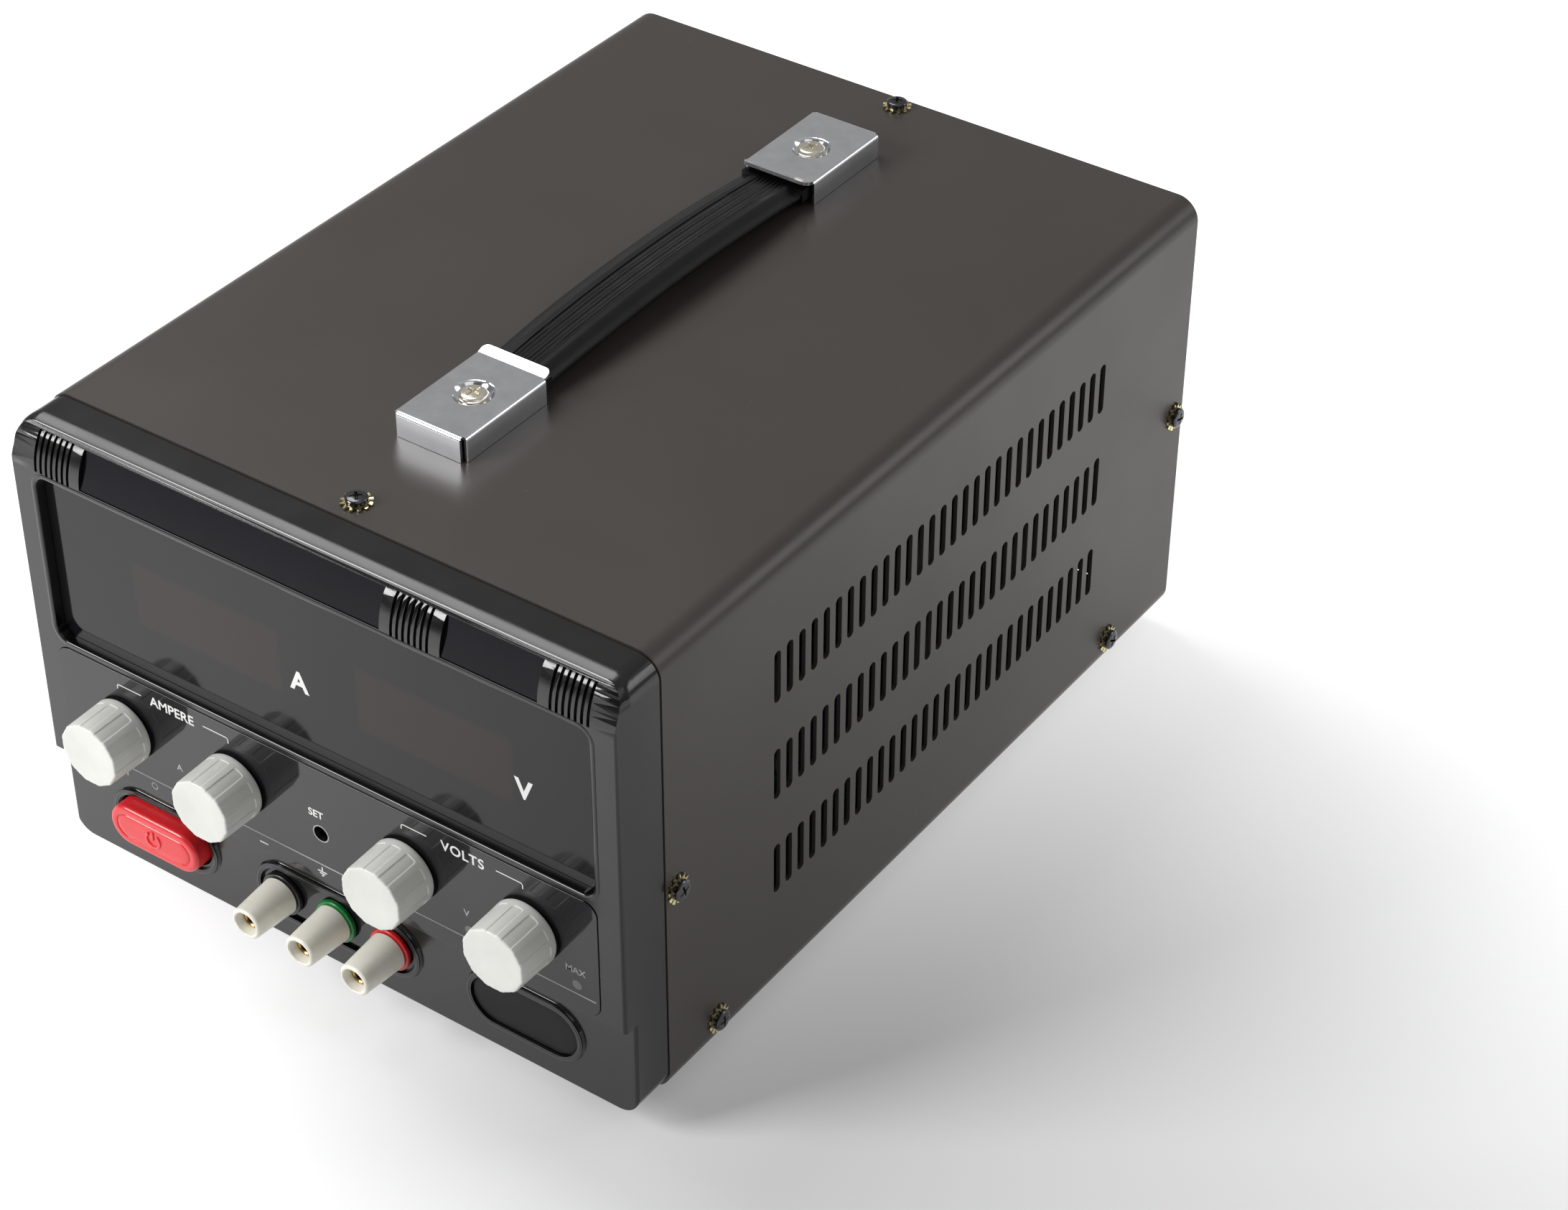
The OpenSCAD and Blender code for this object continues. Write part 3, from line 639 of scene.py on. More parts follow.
SOCKET_R, CAP_BORE, TIP_R, NOSE_R = 3.1, 2.56, 4.95, 0.9
SOCKET_BORE, SOCKET_L, SOCKET_BACK = 2.06, 4, 2.6
POSTS = (("minus", "black", "black"), ("gnd", "green", "green"), ("plus", "red", "ring_red"))


def add_terminal_cap(node, body):
    """A tapered cap with a rounded nose, a funnel and a slightly squared tip."""
    low, high = node_box(node)
    centre = middle_of(low, high)
    tip, base = low.y, high.y
    r_base = (high.x - low.x) / 2

    def squared(angle, r, y):
        """The radius, pulled in a little on four sides towards the tip."""
        share = smoothstep(base - y, 3, 12) * (1 if r > 4 else 0)
        return r - share * 0.22 * (0.5 + 0.5 * cos(4 * angle)) ** 2

    profile = [(SOCKET_R, base - 3), (CAP_BORE, base - 2.8), (CAP_BORE, base)]
    profile += [(r_base - 0.3, base), (r_base, base - 0.3)]
    profile += [(r_base + (TIP_R - r_base) * t, base - 0.3 + (tip + NOSE_R - base + 0.3) * t)
                for t in (0.15, 0.3, 0.45, 0.6, 0.75, 0.9, 1)]
    profile += arc(TIP_R - NOSE_R, tip + NOSE_R, NOSE_R, -15, -90, 6)
    profile += [(3.85, tip + 0.06), (3.65, tip + 0.25), (3.5, tip + 1.2), (SOCKET_R, tip + 2.0)]
    rows = turned(centre, profile, 96, squared)
    add_piece(node + "_moulded", *hoop(rows), "ivory", body, (node,), "ivory_plastic")


def add_socket(node, name):
    """The brass end of a post inside its cap, which stays still as the cap unscrews."""
    low, high = node_box(node)
    centre = middle_of(low, high)
    front = low.y + SOCKET_BACK
    outer, inner = SOCKET_R - 0.06, SOCKET_BORE
    profile = [(outer, front + SOCKET_L), (outer, front + 0.2), (outer - 0.2, front), (inner + 0.35, front),
               (inner, front + 0.35), (inner, front + SOCKET_L)]
    rows = turned(centre, profile, 64) + turned(centre, profile[:1], 64)
    add_piece(name, *skin(rows, caps=False), "brass", slot="brass")


def add_terminal_ring(node, body, finish, slot):
    """A thin collar with rounded edges."""
    low, high = node_box(node)
    centre = middle_of(low, high)
    outer, r = (high.x - low.x) / 2, 0.45
    profile = [(CAP_BORE, low.y), *arc(outer - r, low.y + r, r, -90, 0),
               *arc(outer - r, high.y - r, r, 0, 90), (CAP_BORE, high.y)]
    add_piece(node + "_moulded", *hoop(turned(centre, profile, 72)), finish, body, (node,), slot)


for pole, colour, finish in POSTS:
    add_terminal_cap(f"terminal_cap_{pole}", f"front_cap_{pole}")
    add_socket(f"terminal_cap_{pole}", f"socket_{pole}")
    add_terminal_ring(f"terminal_ring_{colour}", f"front_ring_{colour}", finish, f"{colour}_plastic")

# ---- bezel beads, plates and printed marks ----

LOWER_Y = -12.9
FACE_Y = -17.0
GLASS_Y = node_box("display_window")[0].y
OVERLAY_Y = node_box("control_overlay")[0].y
OVAL_X, OVAL_Z = 63.2, 18.2
OVAL = (38.6, 19.0)
POST_OVAL = (57.6, 19.0)
POST_X = node_centre("terminal_cap_gnd").x
RIM_W = 1.6

RIM_SECTION = [(0.5, -0.1), (0.28, 0.1), (0.12, 0.45), (-0.1, 0.8), (-0.45, 1.03), (-0.8, 1.1),
               (-1.15, 1.03), (-1.45, 0.8), (-1.64, 0.4), (-1.66, -0.15)]


def add_rims():
    """Glossy rims round the three stadium recesses."""
    for name, x, (w, h) in (("rim_button", -OVAL_X, OVAL), ("rim_posts", POST_X, POST_OVAL),
                            ("rim_blank", OVAL_X, OVAL)):
        outline = rounded_outline(w, h, h / 2 - 0.01, 24)
        swept_rim(name, (x, OVAL_Z), outline, RIM_SECTION, "gloss_black", LOWER_Y, slot="black_abs")


def stadium_rows(centre, w, h, section, y):
    """Rows of a stadium form: section holds (outward, forward) steps from its outline on the plane at y."""
    rows = []
    for o, f in section:
        outline = rounded_outline(w + 2 * o, h + 2 * o, h / 2 + o - 0.001, 24)
        rows.append([(centre[0] + p[0], y - f, centre[1] + p[1]) for p in outline])
    return rows


def add_plate(name, centre, w, h, y, thick, finish):
    """A flat stadium plate with a rounded front edge, its front at y - thick."""
    edge = 0.3
    section = [(0, -0.1), (0, thick - edge)]
    section += [(edge * (cos(a) - 1), thick - edge + edge * sin(a)) for a in map(radians, (22, 45, 67, 90))]
    section += [(-h / 4, thick), (-h / 2 + 0.1, thick)]
    return add_piece(name, *skin(stadium_rows(centre, w, h, section, y)), finish, slot="black_abs")


WINDOW_W, WINDOW_R = 183.0, 4.5
WINDOW_Z = (75.9, 130.0)
LIP_SECTION = [(1.3, -0.1), (1.25, 0.06), (1.05, 0.16), (0.6, 0.2), (0.05, 0.14), (-0.16, -0.02),
               (-0.26, -0.25), (-0.3, -0.5), (-0.34, -3.0), (0.1, -3.0)]


def add_window_surround():
    """The glossy wall of the window's recess, with a rounded lip."""
    outline = rounded_outline(WINDOW_W, WINDOW_Z[1] - WINDOW_Z[0], WINDOW_R, 16)
    swept_rim("window_surround", (0, sum(WINDOW_Z) / 2), outline, LIP_SECTION, "gloss_black", FACE_Y,
              slot="black_abs")


add_rims()
add_window_surround()
add_plate("plate_blank", (OVAL_X, OVAL_Z), OVAL[0] - 2 * RIM_W - 0.7, OVAL[1] - 2 * RIM_W - 0.7,
          LOWER_Y + 0.2, 0.5, "plate")
add_plate("plate_posts", (POST_X, OVAL_Z), POST_OVAL[0] - 2 * RIM_W - 0.7, POST_OVAL[1] - 2 * RIM_W - 0.7,
          LOWER_Y + 0.2, 0.35, "overlay")

# thickness of a printed layer; capital height over the font's size
INK, CAPITAL = 0.04, 0.7


def add_text(name, body, x, z, height, y, finish="ink", spread=1.0, weight=0.018):
    """Plain lettering of the given capital height, centred at x, z and raised as a layer of ink."""
    curve = bpy.data.curves.new(name, "FONT")
    curve.body = body
    curve.align_x = "CENTER"
    curve.align_y = "CENTER"
    curve.size = height * MM / CAPITAL
    curve.space_character = spread
    curve.offset = weight * curve.size
    curve.extrude = INK * MM / 2
    holder = add_object(name + "_text", curve)
    bpy.context.view_layer.update()
    mesh = evaluated(holder)
    bpy.data.objects.remove(holder)
    mesh.transform(Matrix.Translation(at(x, y - INK / 2, z)) @ Matrix.Rotation(pi / 2, 4, "X"))
    return add_mesh(name, mesh, finish)


def add_line(name, path, width, y, finish="ink"):
    """A printed line along the path of (x, z) points."""
    rows = []
    for i, (x, z) in enumerate(path):
        a, b = path[max(0, i - 1)], path[min(len(path) - 1, i + 1)]
        along = hypot(b[0] - a[0], b[1] - a[1])
        nx, nz = -(b[1] - a[1]) / along * width / 2, (b[0] - a[0]) / along * width / 2
        left, right = (x + nx, z + nz), (x - nx, z - nz)
        rows.append([(q[0], y - rise, q[1])
                     for q, rise in ((left, 0), (right, 0), (right, INK), (left, INK))])
    return add_piece(name, *skin(rows), finish, slot="overlay_film")


def add_dot(name, x, z, r, y, finish, inner=0.0):
    """A printed disc, or a ring where inner is given."""
    profile = [(r, y), (r, y - INK), (max(inner, 0.01), y - INK), (max(inner, 0.01), y)]
    rows = turned((x, z), profile, 40)
    rows.append(rows[0])
    return add_piece(name, *skin(rows, caps=False), finish, slot="overlay_film")


def hooked(x0, x1, z, drop):
    """A bracket line from x0, where it turns down by drop, to x1."""
    r = 0.7
    side = 1 if x1 > x0 else -1
    bend = [(x0 + side * r * (1 - cos(radians(a))), z - r + r * sin(radians(a))) for a in (0, 30, 60, 90)]
    return [(x0, z - drop), *bend, (x1, z)]


def add_marks():
    """Generic lettering, lines and symbols, printed on the overlay and the window."""
    y = OVERLAY_Y
    add_text("mark_amps", "A", -5.8, 97.9, 6.0, GLASS_Y, weight=0.03)
    add_text("mark_volts", "V", 67.5, 97.7, 6.0, GLASS_Y, weight=0.03)
    add_text("label_amps", "AMPERE", -50.5, 69.6, 3.1, y)
    add_text("label_volts", "VOLTS", 48.9, 69.4, 3.1, y, spread=1.1)
    for name, x0, x1, drop in (("amps_left", -70.3, -61.6, 1.6), ("amps_right", -30.6, -39.4, 1.8),
                               ("volts_left", 28.7, 37.1, 1.6), ("volts_right", 68.3, 59.8, 1.8)):
        add_line("bracket_" + name, hooked(x0, x1, 69.9, drop), 0.3, y)
    add_line("band_line", [(-91, 40.9), (90.5, 40.9)], 0.4, y, "dim_ink")
    add_text("label_limit", "SET", -1.2, 58.3, 2.3, y)
    add_text("label_current_mode", "A", -50.2, 50.2, 2.1, y, "dim_ink")
    add_text("label_voltage_mode", "V", 49.0, 49.7, 2.1, y, "dim_ink")
    add_text("label_limit_lamp", "MAX", 84.2, 48.7, 2.1, y, "dim_ink")
    add_dot("set_ring", 0, 52, 2.75, y, "dim_ink", 2.4)
    for name, x in (("dot_cc", -49.6), ("dot_cv", 49.6), ("dot_ov", 84.6)):
        add_dot(name, x, 44, 1.5, y, "led")
    add_line("minus_bar", [(-22.9, 38.1), (-19.9, 38.1)], 0.45, y)
    add_line("plus_bar", [(16, 38), (19, 38)], 0.45, y)
    add_line("plus_post", [(17.5, 36.5), (17.5, 39.5)], 0.45, y)
    add_line("earth_post", [(POST_X, 39.9), (POST_X, 38.4)], 0.35, y)
    for i, half in enumerate((1.6, 1.0, 0.4)):
        z = 38.3 - 0.7 * i
        add_line(f"earth_bar_{i}", [(POST_X - half, z), (POST_X + half, z)], 0.35, y)
    add_line("on_bar", [(-71, 37.5), (-71, 39.7)], 0.4, y, "dim_ink")
    add_dot("off_ring", -60.9, 38.6, 1.2, y, "dim_ink", 0.85)


add_marks()

# ---- mains button ----


def add_button():
    """A stadium button: rounded edge, engraved line, raised on/off symbol."""
    low, high = node_box("power_button")
    w = high.x - low.x
    h = high.z - low.z
    centre = middle_of(low, high)
    front = low.y
    edge = 1.3
    section = [(0, -12), (0, -edge)]
    section += [(-edge * (1 - cos(a)), -edge * (1 - sin(a)))
                for a in map(radians, (15, 30, 45, 60, 75, 90))]
    section += [(-2.35, 0), (-2.5, -0.06), (-2.65, -0.28), (-2.85, -0.3), (-3.0, -0.1), (-3.15, -0.04)]
    section += [(-4.5, -0.02), (-h / 2 + 0.2, 0)]
    rows = stadium_rows(centre, w, h, section, front)
    add_piece("power_button_cap", *skin(rows), "red", "power_button", ("power_button",), "red_plastic")
    relief = [(-0.2, 0.0), (-0.14, 0.36), (0.0, 0.45), (0.16, 0.45), (0.3, 0.36), (0.36, 0)]
    gap, r, wide = 38, 2.3, 1.6
    turns = [radians(90 + gap + (360 - 2 * gap) * i / 40) for i in range(41)]
    rows = [[(centre[0] + (r + wide * o) * cos(a), front - f + 0.02,
              centre[1] - 0.2 + (r + wide * o) * sin(a)) for o, f in relief] for a in turns]
    add_piece("power_symbol_ring", *skin(rows), "red_light", "power_button", slot="red_plastic")
    rows = [[(centre[0] + wide * (o - 0.08), front - f + 0.02, centre[1] + z) for o, f in relief]
            for z in (0.1, 0.4, 2.6, 2.9)]
    add_piece("power_symbol_bar", *skin(rows), "red_light", "power_button", slot="red_plastic")


add_button()

# ---- handle ----

BRACKET_W, BRACKET_L = 23.6, 37.0
BRACKET_TOP = node_box("handle_brackets")[1].z
BRACKET_Y = (35.4, 189.0)
BEND = 1.1
STEEL_T = 0.9
# inner and outer radius, depth
DIMPLE = (4.3, 6.0, 1.5)
LIP, LIP_RISE = 3.4, 1.1
CORNER_SLIT = 0.5


def dimple(rho):
    """Height of a bracket's top at rho from its screw."""
    inner, outer, depth = DIMPLE
    return -depth * (1 - smoothstep(rho, inner, outer))


def add_bracket(name, y0, mouth):
    """A pressed cover plate: mouth is +1 where the strap leaves towards the rear, -1 towards the front."""
    hw = BRACKET_W / 2
    top, bottom = BRACKET_TOP, CASE_H + 0.1
    mid = y0 + BRACKET_L / 2
    whole = [], []

    def patch(us, vs, form):
        """Add a grid of form(u, v)."""
        join(whole, ([form(u, v) for u in us for v in vs], grid_faces(len(us), len(vs), closed=False)))

    def spread(a, b, count):
        """Evenly spaced values from a to b."""
        return [a + (b - a) * i / count for i in range(count + 1)]

    closed_end = mid - mouth * BRACKET_L / 2
    open_end = mid + mouth * (BRACKET_L / 2 - LIP * 0.9)
    inner_x = spread(-hw + BEND + CORNER_SLIT / 2, hw - BEND - CORNER_SLIT / 2, 54)
    inner_y = spread(closed_end + mouth * (BEND + CORNER_SLIT / 2), open_end, 82)
    xs = [-hw + BEND] + inner_x + [hw - BEND]
    ys = [closed_end + mouth * BEND] + inner_y
    patch(xs, ys, lambda x, y: (x, y, top + dimple(hypot(x, y - mid))))
    fold_steps = spread(0, 90, 7) + spread(90, 90 + top - BEND - bottom, 2)[1:]
    for side in (-1, 1):
        def folded(s, y, side=side):
            """A long side's fold, with s as in end_fold."""
            if s <= 90:
                a = radians(s)
                return (side * (hw - BEND + BEND * sin(a)), y, top - BEND + BEND * cos(a))
            return (side * hw, y, top - BEND - (s - 90))
        patch(fold_steps, inner_y, folded)

    def end_fold(s, x):
        """The closed end's fold: s is degrees of bend, then millimetres down the wall."""
        if s <= 90:
            a = radians(s)
            return (x, closed_end + mouth * (BEND - BEND * sin(a)), top - BEND + BEND * cos(a))
        return (x, closed_end, top - BEND - (s - 90))
    patch(fold_steps, inner_x, end_fold)

    def lip(s, t):
        """The tongue over the strap, bent up at a steady slope, with rounded corners."""
        half = hw - 0.7
        rise = LIP_RISE / 0.9 * (s * s / 0.4 if s < 0.2 else s - 0.1)
        corner = 1.8
        reach = LIP * s
        inset = max(0, reach - (LIP - corner))
        cut = corner - sqrt(max(0, corner * corner - inset * inset))
        return (t * (half - cut), open_end + mouth * reach, top + rise)
    patch([0, 0.08, 0.2, 0.35, 0.5, 0.62, 0.74, 0.84, 0.92, 0.97, 1], spread(-1, 1, 30), lip)

    mesh = mesh_of(name, *whole)
    weld(mesh, 2e-6)
    maker = add_object(name + "_maker", mesh)
    thick = maker.modifiers.new("sheet", "SOLIDIFY")
    thick.thickness = STEEL_T * MM
    thick.offset = -1
    made = evaluated(maker)
    bpy.data.objects.remove(maker)
    return add_mesh(name, made, "chrome", replaces=("handle_brackets",))


RECESS_HALF = 0.28


def cross_recess(x, z, arm):
    """1 inside a cross recess with tapered arms, 0 outside."""
    def bar(along, across):
        """1 inside one bar of the cross."""
        return smoothstep(arm - abs(along), 0, 0.35) * smoothstep(RECESS_HALF + 0.1 - abs(across), 0, 0.28)
    return max(bar(x, z), bar(z, x))


def screw_rows(r, height, dome, arm, depth):
    """Rows of a pan head with a cross recess in its own frame: up is +Z, seat at 0."""
    steps = 64
    radii = [r * (1 - i / 26) for i in range(26)] + [0.01]
    rows = [[(r * cos(2 * pi * i / steps), r * sin(2 * pi * i / steps), 0) for i in range(steps)]]
    for radius in radii:
        row = []
        for i in range(steps):
            a = 2 * pi * i / steps
            x, y = radius * cos(a), radius * sin(a)
            crown = height - dome * (radius / r) ** 2 - 0.55 * dome * max(0, radius / r - 0.82) ** 2 / 0.03
            row.append((x, y, crown - depth * cross_recess(x, y, arm)))
        rows.append(row)
    return rows


def add_screws(name, places, size, finish, replaces, slot, body="case"):
    """Pan heads at places, each a (point, outward direction) pair, joined as one piece."""
    whole = [], []
    for k, (spot, out) in enumerate(places):
        x, y, z = axes(out, 0.6 + 1.3 * k)
        points, faces = skin(screw_rows(*size))
        join(whole, ([tuple(Vector(spot) + x * p[0] + y * p[1] + z * p[2]) for p in points], faces))
    return add_piece(name, *whole, finish, body, replaces, slot)


for index, y0 in enumerate(BRACKET_Y):
    add_bracket(f"bracket_{index}", y0, 1 if index == 0 else -1)
add_screws("handle_screw_heads",
           [((0, y + BRACKET_L / 2, BRACKET_TOP - DIMPLE[2]), (0, 0, 1)) for y in BRACKET_Y],
           (3.8, 2.1, 0.45, 2.3, 1.0), "nickel", ("handle_screws",), "steel_bright")

STRAP_W, STRAP_T, STRAP_RISE = 21.0, 3.6, 3.0
STRAP_Z = CASE_H + 2.4
STRAP_ENDS = (BRACKET_Y[0] + BRACKET_L - 1.0, BRACKET_Y[1] + 1.0)
RIBS = 7
RIB_PITCH = 1.25
RIB_DEPTH = 0.6
STRAP_EDGE_R, SHOULDER_Z, STRAP_NECK = 1.3, 2.25, 0.8


def strap_section(width):
    """Half-turned outline of the strap: ribs in the middle of the top, soft rolled edges."""
    hw, t = width / 2, STRAP_T
    under = [(-hw + 1.4, 0), (hw - 1.4, 0)]
    right = arc(hw - STRAP_EDGE_R, STRAP_EDGE_R, STRAP_EDGE_R, -80, 35, 6)
    left = [(-x, z) for x, z in reversed(right)]
    top = []
    count = 120
    for i in range(count + 1):
        x = (hw - 1.6) * (1 - 2 * i / count)
        share = smoothstep(hw - abs(x), 1.2, 4.6)
        z = SHOULDER_Z + (t - SHOULDER_Z) * share
        if abs(x) < RIBS * RIB_PITCH / 2:
            z -= RIB_DEPTH * (0.5 + 0.5 * cos(2 * pi * (x / RIB_PITCH + 0.5))) ** 2
        top.append((x, z))
    return under + right + top + left


def add_strap():
    """Two halves of the arched strap that meet in the middle, each running from its bracket end."""
    y0, y1 = STRAP_ENDS
    middle = (y0 + y1) / 2
    half = (y1 - y0) / 2
    radius = (half * half + STRAP_RISE * STRAP_RISE) / (2 * STRAP_RISE)
    for name, start, end, outer, inward in (("strap_front_half", y0, middle, y0, 4),
                                            ("strap_rear_half", middle, y1, y1, -4)):
        rows = []
        for i in range(33):
            y = start + (end - start) * i / 32
            u = (y - middle) / half
            rise = sqrt(radius * radius - (y - middle) ** 2) - radius + STRAP_RISE
            width = STRAP_W - STRAP_NECK + STRAP_NECK * smoothstep(1 - abs(u), 0, 0.5)
            rows.append([(x, y, STRAP_Z + rise + z) for x, z in strap_section(width)])
        piece = add_piece(name, *skin(rows), "strap", None, ("handle_strap",), "pvc_strap", radians(50))
        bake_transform(piece)


add_strap()

# ---- case screws and washers ----

SIDE_SCREWS = ((5, 68.6), (21.5, 10.5), (252.3, 73.7), (221.1, 10.5))
TOP_SCREWS = (7, 252.4)
WASHER_T = 0.7
# hole, ring, and the foot of the teeth
WASHER_RADII = (1.9, 3.15, 3.2)
TEETH, TOOTH_L, TOOTH_TWIST, SHEET_T = 12, 1.1, 0.42, 0.45


def screw_spots():
    """Where the case screws sit, each with its outward direction."""
    spots = [((side * CASE_W / 2, y, z), (side, 0, 0)) for side in (-1, 1) for y, z in SIDE_SCREWS]
    return spots + [((0, y, CASE_H), (0, 0, 1)) for y in TOP_SCREWS]


def add_washers():
    """External-tooth lock washers: the teeth are twisted out of the ring's plane."""
    whole = [], []
    steps = TEETH * 12
    for k, (spot, out) in enumerate(screw_spots()):
        x, y, z = axes(out, 0.9 * k)
        rows = []
        for level, side in ((0, 0), (1, 0), (1, 1), (1, 2), (0, 2), (0, 1)):
            row = []
            for i in range(steps):
                a = 2 * pi * i / steps
                phase = (i % 12) / 12
                tooth = smoothstep(phase, 0.08, 0.2) * (1 - smoothstep(phase, 0.6, 0.72))
                r = WASHER_RADII[side] + (TOOTH_L * tooth if side == 2 else 0)
                twist = TOOTH_TWIST * (phase - 0.4) * 2 * tooth if side == 2 else 0
                h = 0.25 + twist + (SHEET_T if level else 0)
                row.append(tuple(Vector(spot) + x * (r * cos(a)) + y * (r * sin(a)) + z * max(0.03, h)))
            rows.append(row)
        join(whole, hoop(rows))
    add_piece("tooth_washers", *whole, "yellow_zinc", replaces=("star_washers",), slot="yellow_zinc")


add_washers()
add_screws("case_screw_heads",
           [(tuple(Vector(p) + Vector(out) * WASHER_T), out) for p, out in screw_spots()],
           (3.0, 1.9, 0.4, 1.9, 0.9), "black_steel", ("case_screws",), "black_screw")

# ---- trimmer, fan and rear panel ----

ADJUSTER_R = 1.68
BLADES, BLADE_SPAN, BLADE_RISE, BLADE_SWEEP = 7, radians(47), 13.0, 0.22
BLADE_T, BLADE_EDGE, BLADE_CAMBER = 1.3, 0.12, 1.6
HUB_R, HUB_WALL, HUB_FLOOR, BLADE_TIP, BLADE_ROOT_IN = 17.0, 2.0, 3.2, 36.4, 0.8
FAN_SHAFT_R, SHAFT_PROUD, BLADE_Y = 1.35, 1.7, 11
FAN_SCREW_R, FAN_SCREW_H = 3.4, 2.2
# name, across and up from the socket's middle, length
INLET_PINS = (("pin_left", -7, -2, 10), ("pin_earth", 0, 2, 11.5), ("pin_right", 7, -2, 10))
PIN_W, PIN_H, PIN_R, SOCKET_DEPTH = 2, 4, 0.5, 16


def add_trimmer():
    """The trimmer's adjuster, with its cross slot behind the hole in the overlay."""
    low, high = node_box("trimmer_rotor")
    x, z = middle_of(low, high)
    size = (ADJUSTER_R, high.y - low.y, 0.06, 1.2, 0.3)
    add_screws("trimmer_adjuster", [((x, high.y, z), (0, -1, 0))], size, "adjuster",
               ("trimmer_rotor",), "lens_grey", body="trimmer")


def blade_rows(centre, start):
    """A swept, cambered fan blade as closed rows from the hub to the tip."""
    rows, steps = [], 14
    for j in range(11):
        share = j / 10
        radius = HUB_R - BLADE_ROOT_IN + (BLADE_TIP - HUB_R + BLADE_ROOT_IN) * share
        row = []
        for k in range(2 * steps):
            side, c = (1, k / steps) if k < steps else (-1, 2 - k / steps)
            angle = start + BLADE_SPAN * (c - 0.5) + BLADE_SWEEP * share * share
            thick = BLADE_EDGE + BLADE_T * sqrt(max(0, c * (1 - c)))
            y = centre[1] + BLADE_RISE * (c - 0.5) + BLADE_CAMBER * sin(pi * c) + side * thick / 2
            row.append((centre[0] + radius * cos(angle), y, centre[2] + radius * sin(angle)))
        rows.append(row)
    return rows


def add_fan_rotor():
    """A hub and blades that nearly close the opening, as a box fan's do."""
    low, high = node_box("fan_rotor")
    x, z = middle_of(low, high)
    rim = arc(HUB_R - 1.6, high.y - 1.7, 1.6, 90, 0, 6)
    cup, floor, wall = low.y + SHAFT_PROUD, high.y - HUB_FLOOR, HUB_R - HUB_WALL
    rows = turned((x, z), [(0.01, high.y - 0.1), *rim, (HUB_R, cup), (wall, cup), (wall, floor),
                           (FAN_SHAFT_R, floor), (FAN_SHAFT_R, low.y), (0.01, low.y)], 96)
    whole = skin(rows)
    for k in range(BLADES):
        join(whole, skin(blade_rows((x, low.y + BLADE_Y, z), 2 * pi * k / BLADES)))
    add_piece("fan_blades", *whole, "black_matt", "fan", ("fan_rotor",), "black_plastic")


def add_fan_screws():
    """Pan heads at the guard's four corners."""
    low, high = node_box("fan_screws")
    y = high.y - FAN_SCREW_H
    xs = (low.x + FAN_SCREW_R, high.x - FAN_SCREW_R)
    zs = (low.z + FAN_SCREW_R, high.z - FAN_SCREW_R)
    add_screws("fan_screw_heads", [((x, y, z), (0, 1, 0)) for x in xs for z in zs],
               (FAN_SCREW_R, FAN_SCREW_H, 0.5, 2.1, 0.9), "nickel", ("fan_screws",), "steel_bright")


def add_inlet_pins():
    """The three blades of the mains inlet, the earth one in the middle and longest."""
    low, high = node_box("mains_inlet")
    x, z = middle_of(low, high)
    outline = rounded_outline(PIN_W, PIN_H, PIN_R, 3)
    start = high.y - SOCKET_DEPTH
    for name, dx, dz, reach in INLET_PINS:
        rows = [[(x + dx + k * p[0], start + y, z + dz + k * p[1]) for p in outline]
                for k, y in ((1, 0), (1, reach - 0.8), (0.7, reach))]
        add_piece(name, *skin(rows), "nickel")


add_trimmer()
add_fan_rotor()
add_fan_screws()
add_inlet_pins()

# ---- edges of the larger carried-over forms ----

# node, finish, width of the rounding, body, segments
softened("bezel", "abs", 0.35, "case")
softened("cover", "paint", 0.25, "case")
softened("nameplate_long", "nameplate", 0.12, "case", 2)
softened("nameplate_short", "nameplate", 0.12, "case", 2)
softened("fuse_cap", "black", 0.35, "fuse_carrier")
softened("rear_cap_red", "ring_red", 0.3, "rear_cap_red_body")
softened("rear_cap_black", "black", 0.3, "rear_cap_black_body")
softened("control_overlay", "overlay", 0.12, "case", 2)

# ---- floor, light ----

# centre, near and far distance, painted glow at each: a painted shade by the right front corner where the glow
# is dim, and the glow gone far ahead
PAINTED_FLOOR_GLOW_AND_SHADE = (((0.24, -0.16), 0.04, 0.42, 0.0, 0.74), ((0.3, 0.5), 1.3, 2.2, 1, 0))

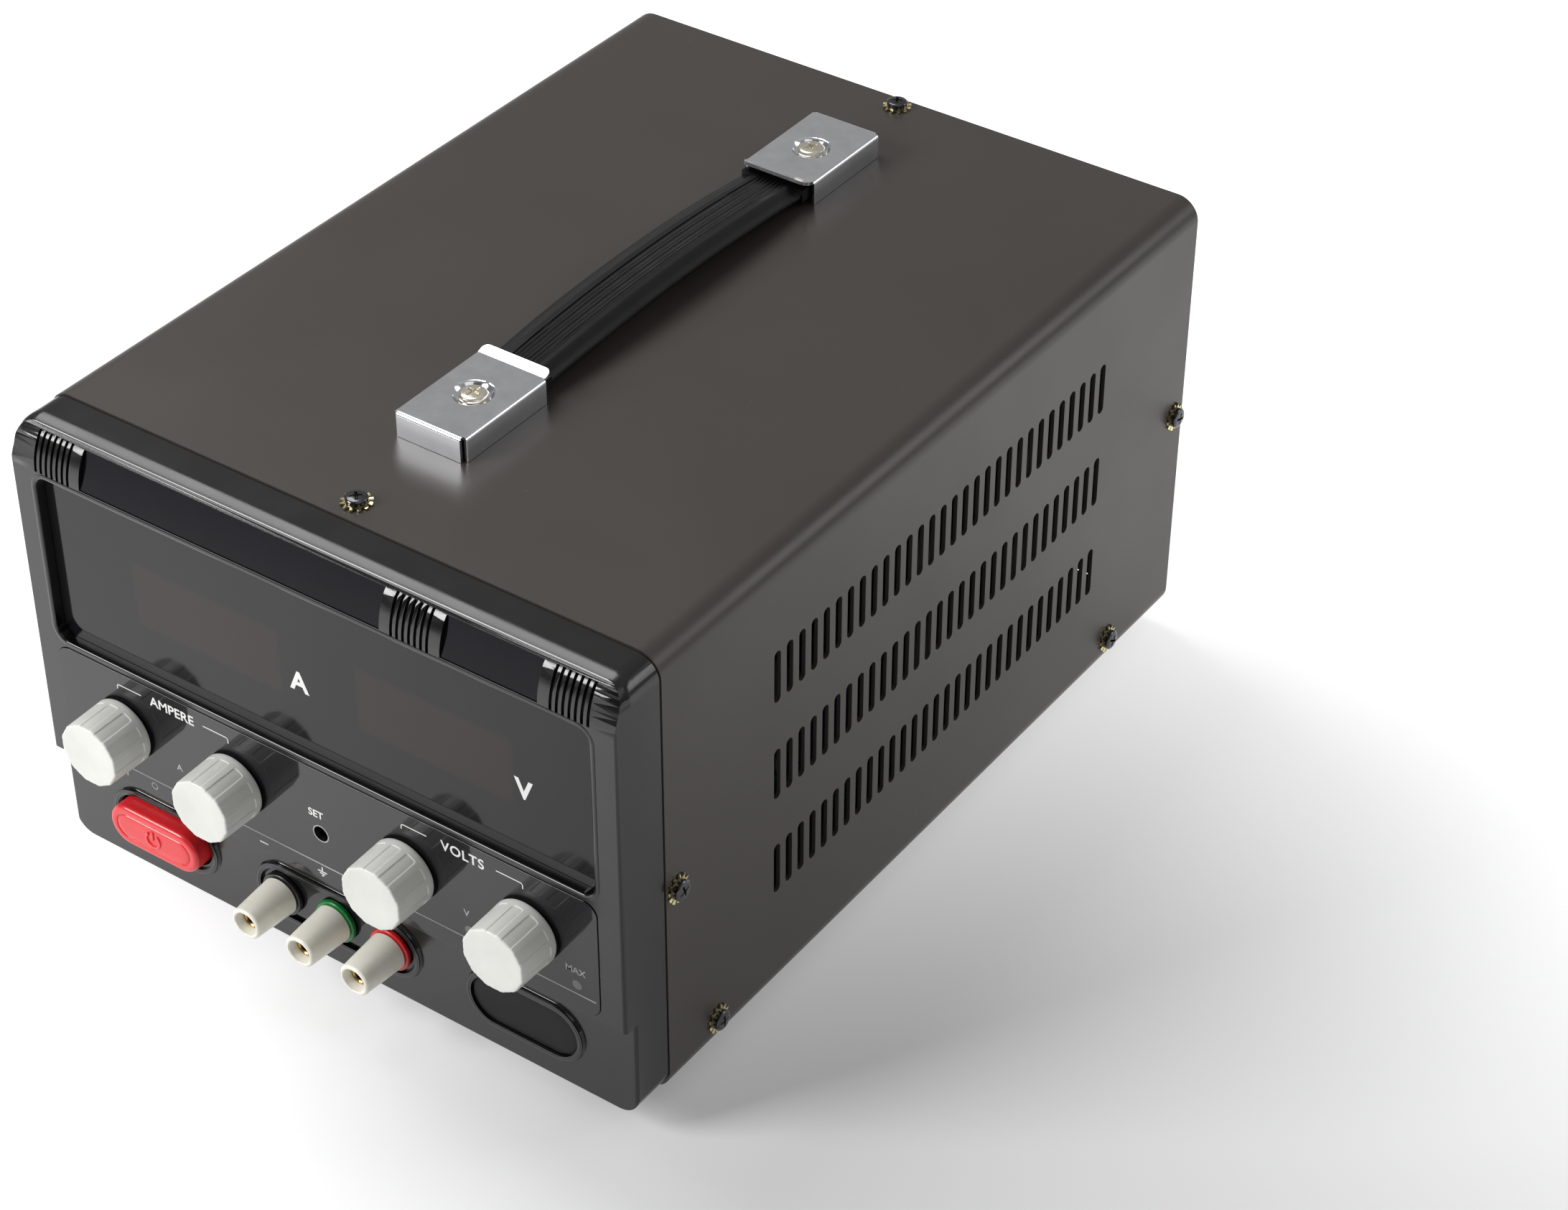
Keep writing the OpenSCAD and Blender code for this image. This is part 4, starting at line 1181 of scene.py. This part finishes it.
def add_floor():
    """A pale floor with a painted glow, dimmed to a painted shade by the right front corner and gone far
    ahead.
    """
    size = 3.0
    mesh = bpy.data.meshes.new("floor")
    corners = [(-size, -size, 0), (size, -size, 0), (size, size, 0), (-size, size, 0)]
    mesh.from_pydata(corners, [], [[0, 1, 2, 3]])
    floor = add_object("floor", mesh)
    made = Finish("floor", (204, 204, 205), 0.6)
    made.tone(300, 0.01)
    made.shader.inputs["Emission Color"].default_value = (1, 1, 1, 1)
    # the floor's painted glow, with its painted shade by the right front corner, goes into its emission
    painted_glow = made.node("ShaderNodeMath", operation="MULTIPLY")
    for i, (centre, near, far, low, high) in enumerate(PAINTED_FLOOR_GLOW_AND_SHADE):
        reach = made.node("ShaderNodeVectorMath", operation="DISTANCE")
        reach.inputs[1].default_value = (*centre, 0)
        made.link(made.place, reach.inputs[0])
        level = made.span(reach.outputs["Value"], low, high, near, far)
        level.node.interpolation_type = "SMOOTHSTEP"
        made.link(level, painted_glow.inputs[i])
    made.link(painted_glow.outputs[0], made.shader.inputs["Emission Strength"])
    mesh.materials.append(made.material)


def add_softbox(name, spot, target, size, radiance):
    """A square soft light at spot, aimed at target, of the given brightness."""
    data = bpy.data.lights.new(name, "AREA")
    data.shape = "RECTANGLE"
    data.size, data.size_y = size
    data.energy = radiance * pi * size[0] * size[1]
    light = add_object(name, data)
    aim = Vector(target) - Vector(spot)
    light.matrix_world = Matrix.Translation(spot) @ aim.to_track_quat("-Z", "Y").to_matrix().to_4x4()


SKY_FRONT, SKY_BACK, SKY_OVERHEAD = 0.1, 0.42, 0.15


def add_sky():
    """An even studio sky, dimmer ahead of the object than behind it."""
    world = bpy.data.worlds.new("studio")
    bpy.context.scene.world = world
    world.use_nodes = True
    tree = world.node_tree
    place = tree.nodes.new("ShaderNodeTexCoord")
    split = tree.nodes.new("ShaderNodeSeparateXYZ")
    tree.links.new(place.outputs["Generated"], split.inputs[0])
    background = tree.nodes["Background"]
    background.inputs["Color"].default_value = (1, 1, 1, 1)
    level = ranged(tree, split.outputs["Y"], SKY_FRONT, SKY_BACK, -0.8, 0.6)
    overhead = ranged(tree, split.outputs["Z"], 0, SKY_OVERHEAD, 0.7, 0.9)
    overhead.interpolation_type = "SMOOTHSTEP"
    both = tree.nodes.new("ShaderNodeMath")
    tree.links.new(level.outputs["Result"], both.inputs[0])
    tree.links.new(overhead.outputs["Result"], both.inputs[1])
    tree.links.new(both.outputs[0], background.inputs["Strength"])


def add_light():
    """A bright box ahead on the left, and weaker ones above, on the right and behind."""
    add_sky()
    for box in (("front_left", (-1.0, -1.38, 1.08), (0, 0, 0.1), (0.75, 0.8), 19),
                ("fill_right", (0.95, -0.55, 1.25), (0, 0, 0.08), (1.0, 1.0), 0.8),
                ("overhead", (-0.72, 0.15, 1.42), (0, 0, 0.1), (0.7, 1.0), 5.2),
                ("rear_right", (1.3, 1.25, 0.95), (0, 0.1, 0.05), (0.8, 0.8), 3.2)):
        add_softbox(*box)


add_floor()
add_light()
bpy.context.scene.view_settings.view_transform = "Standard"
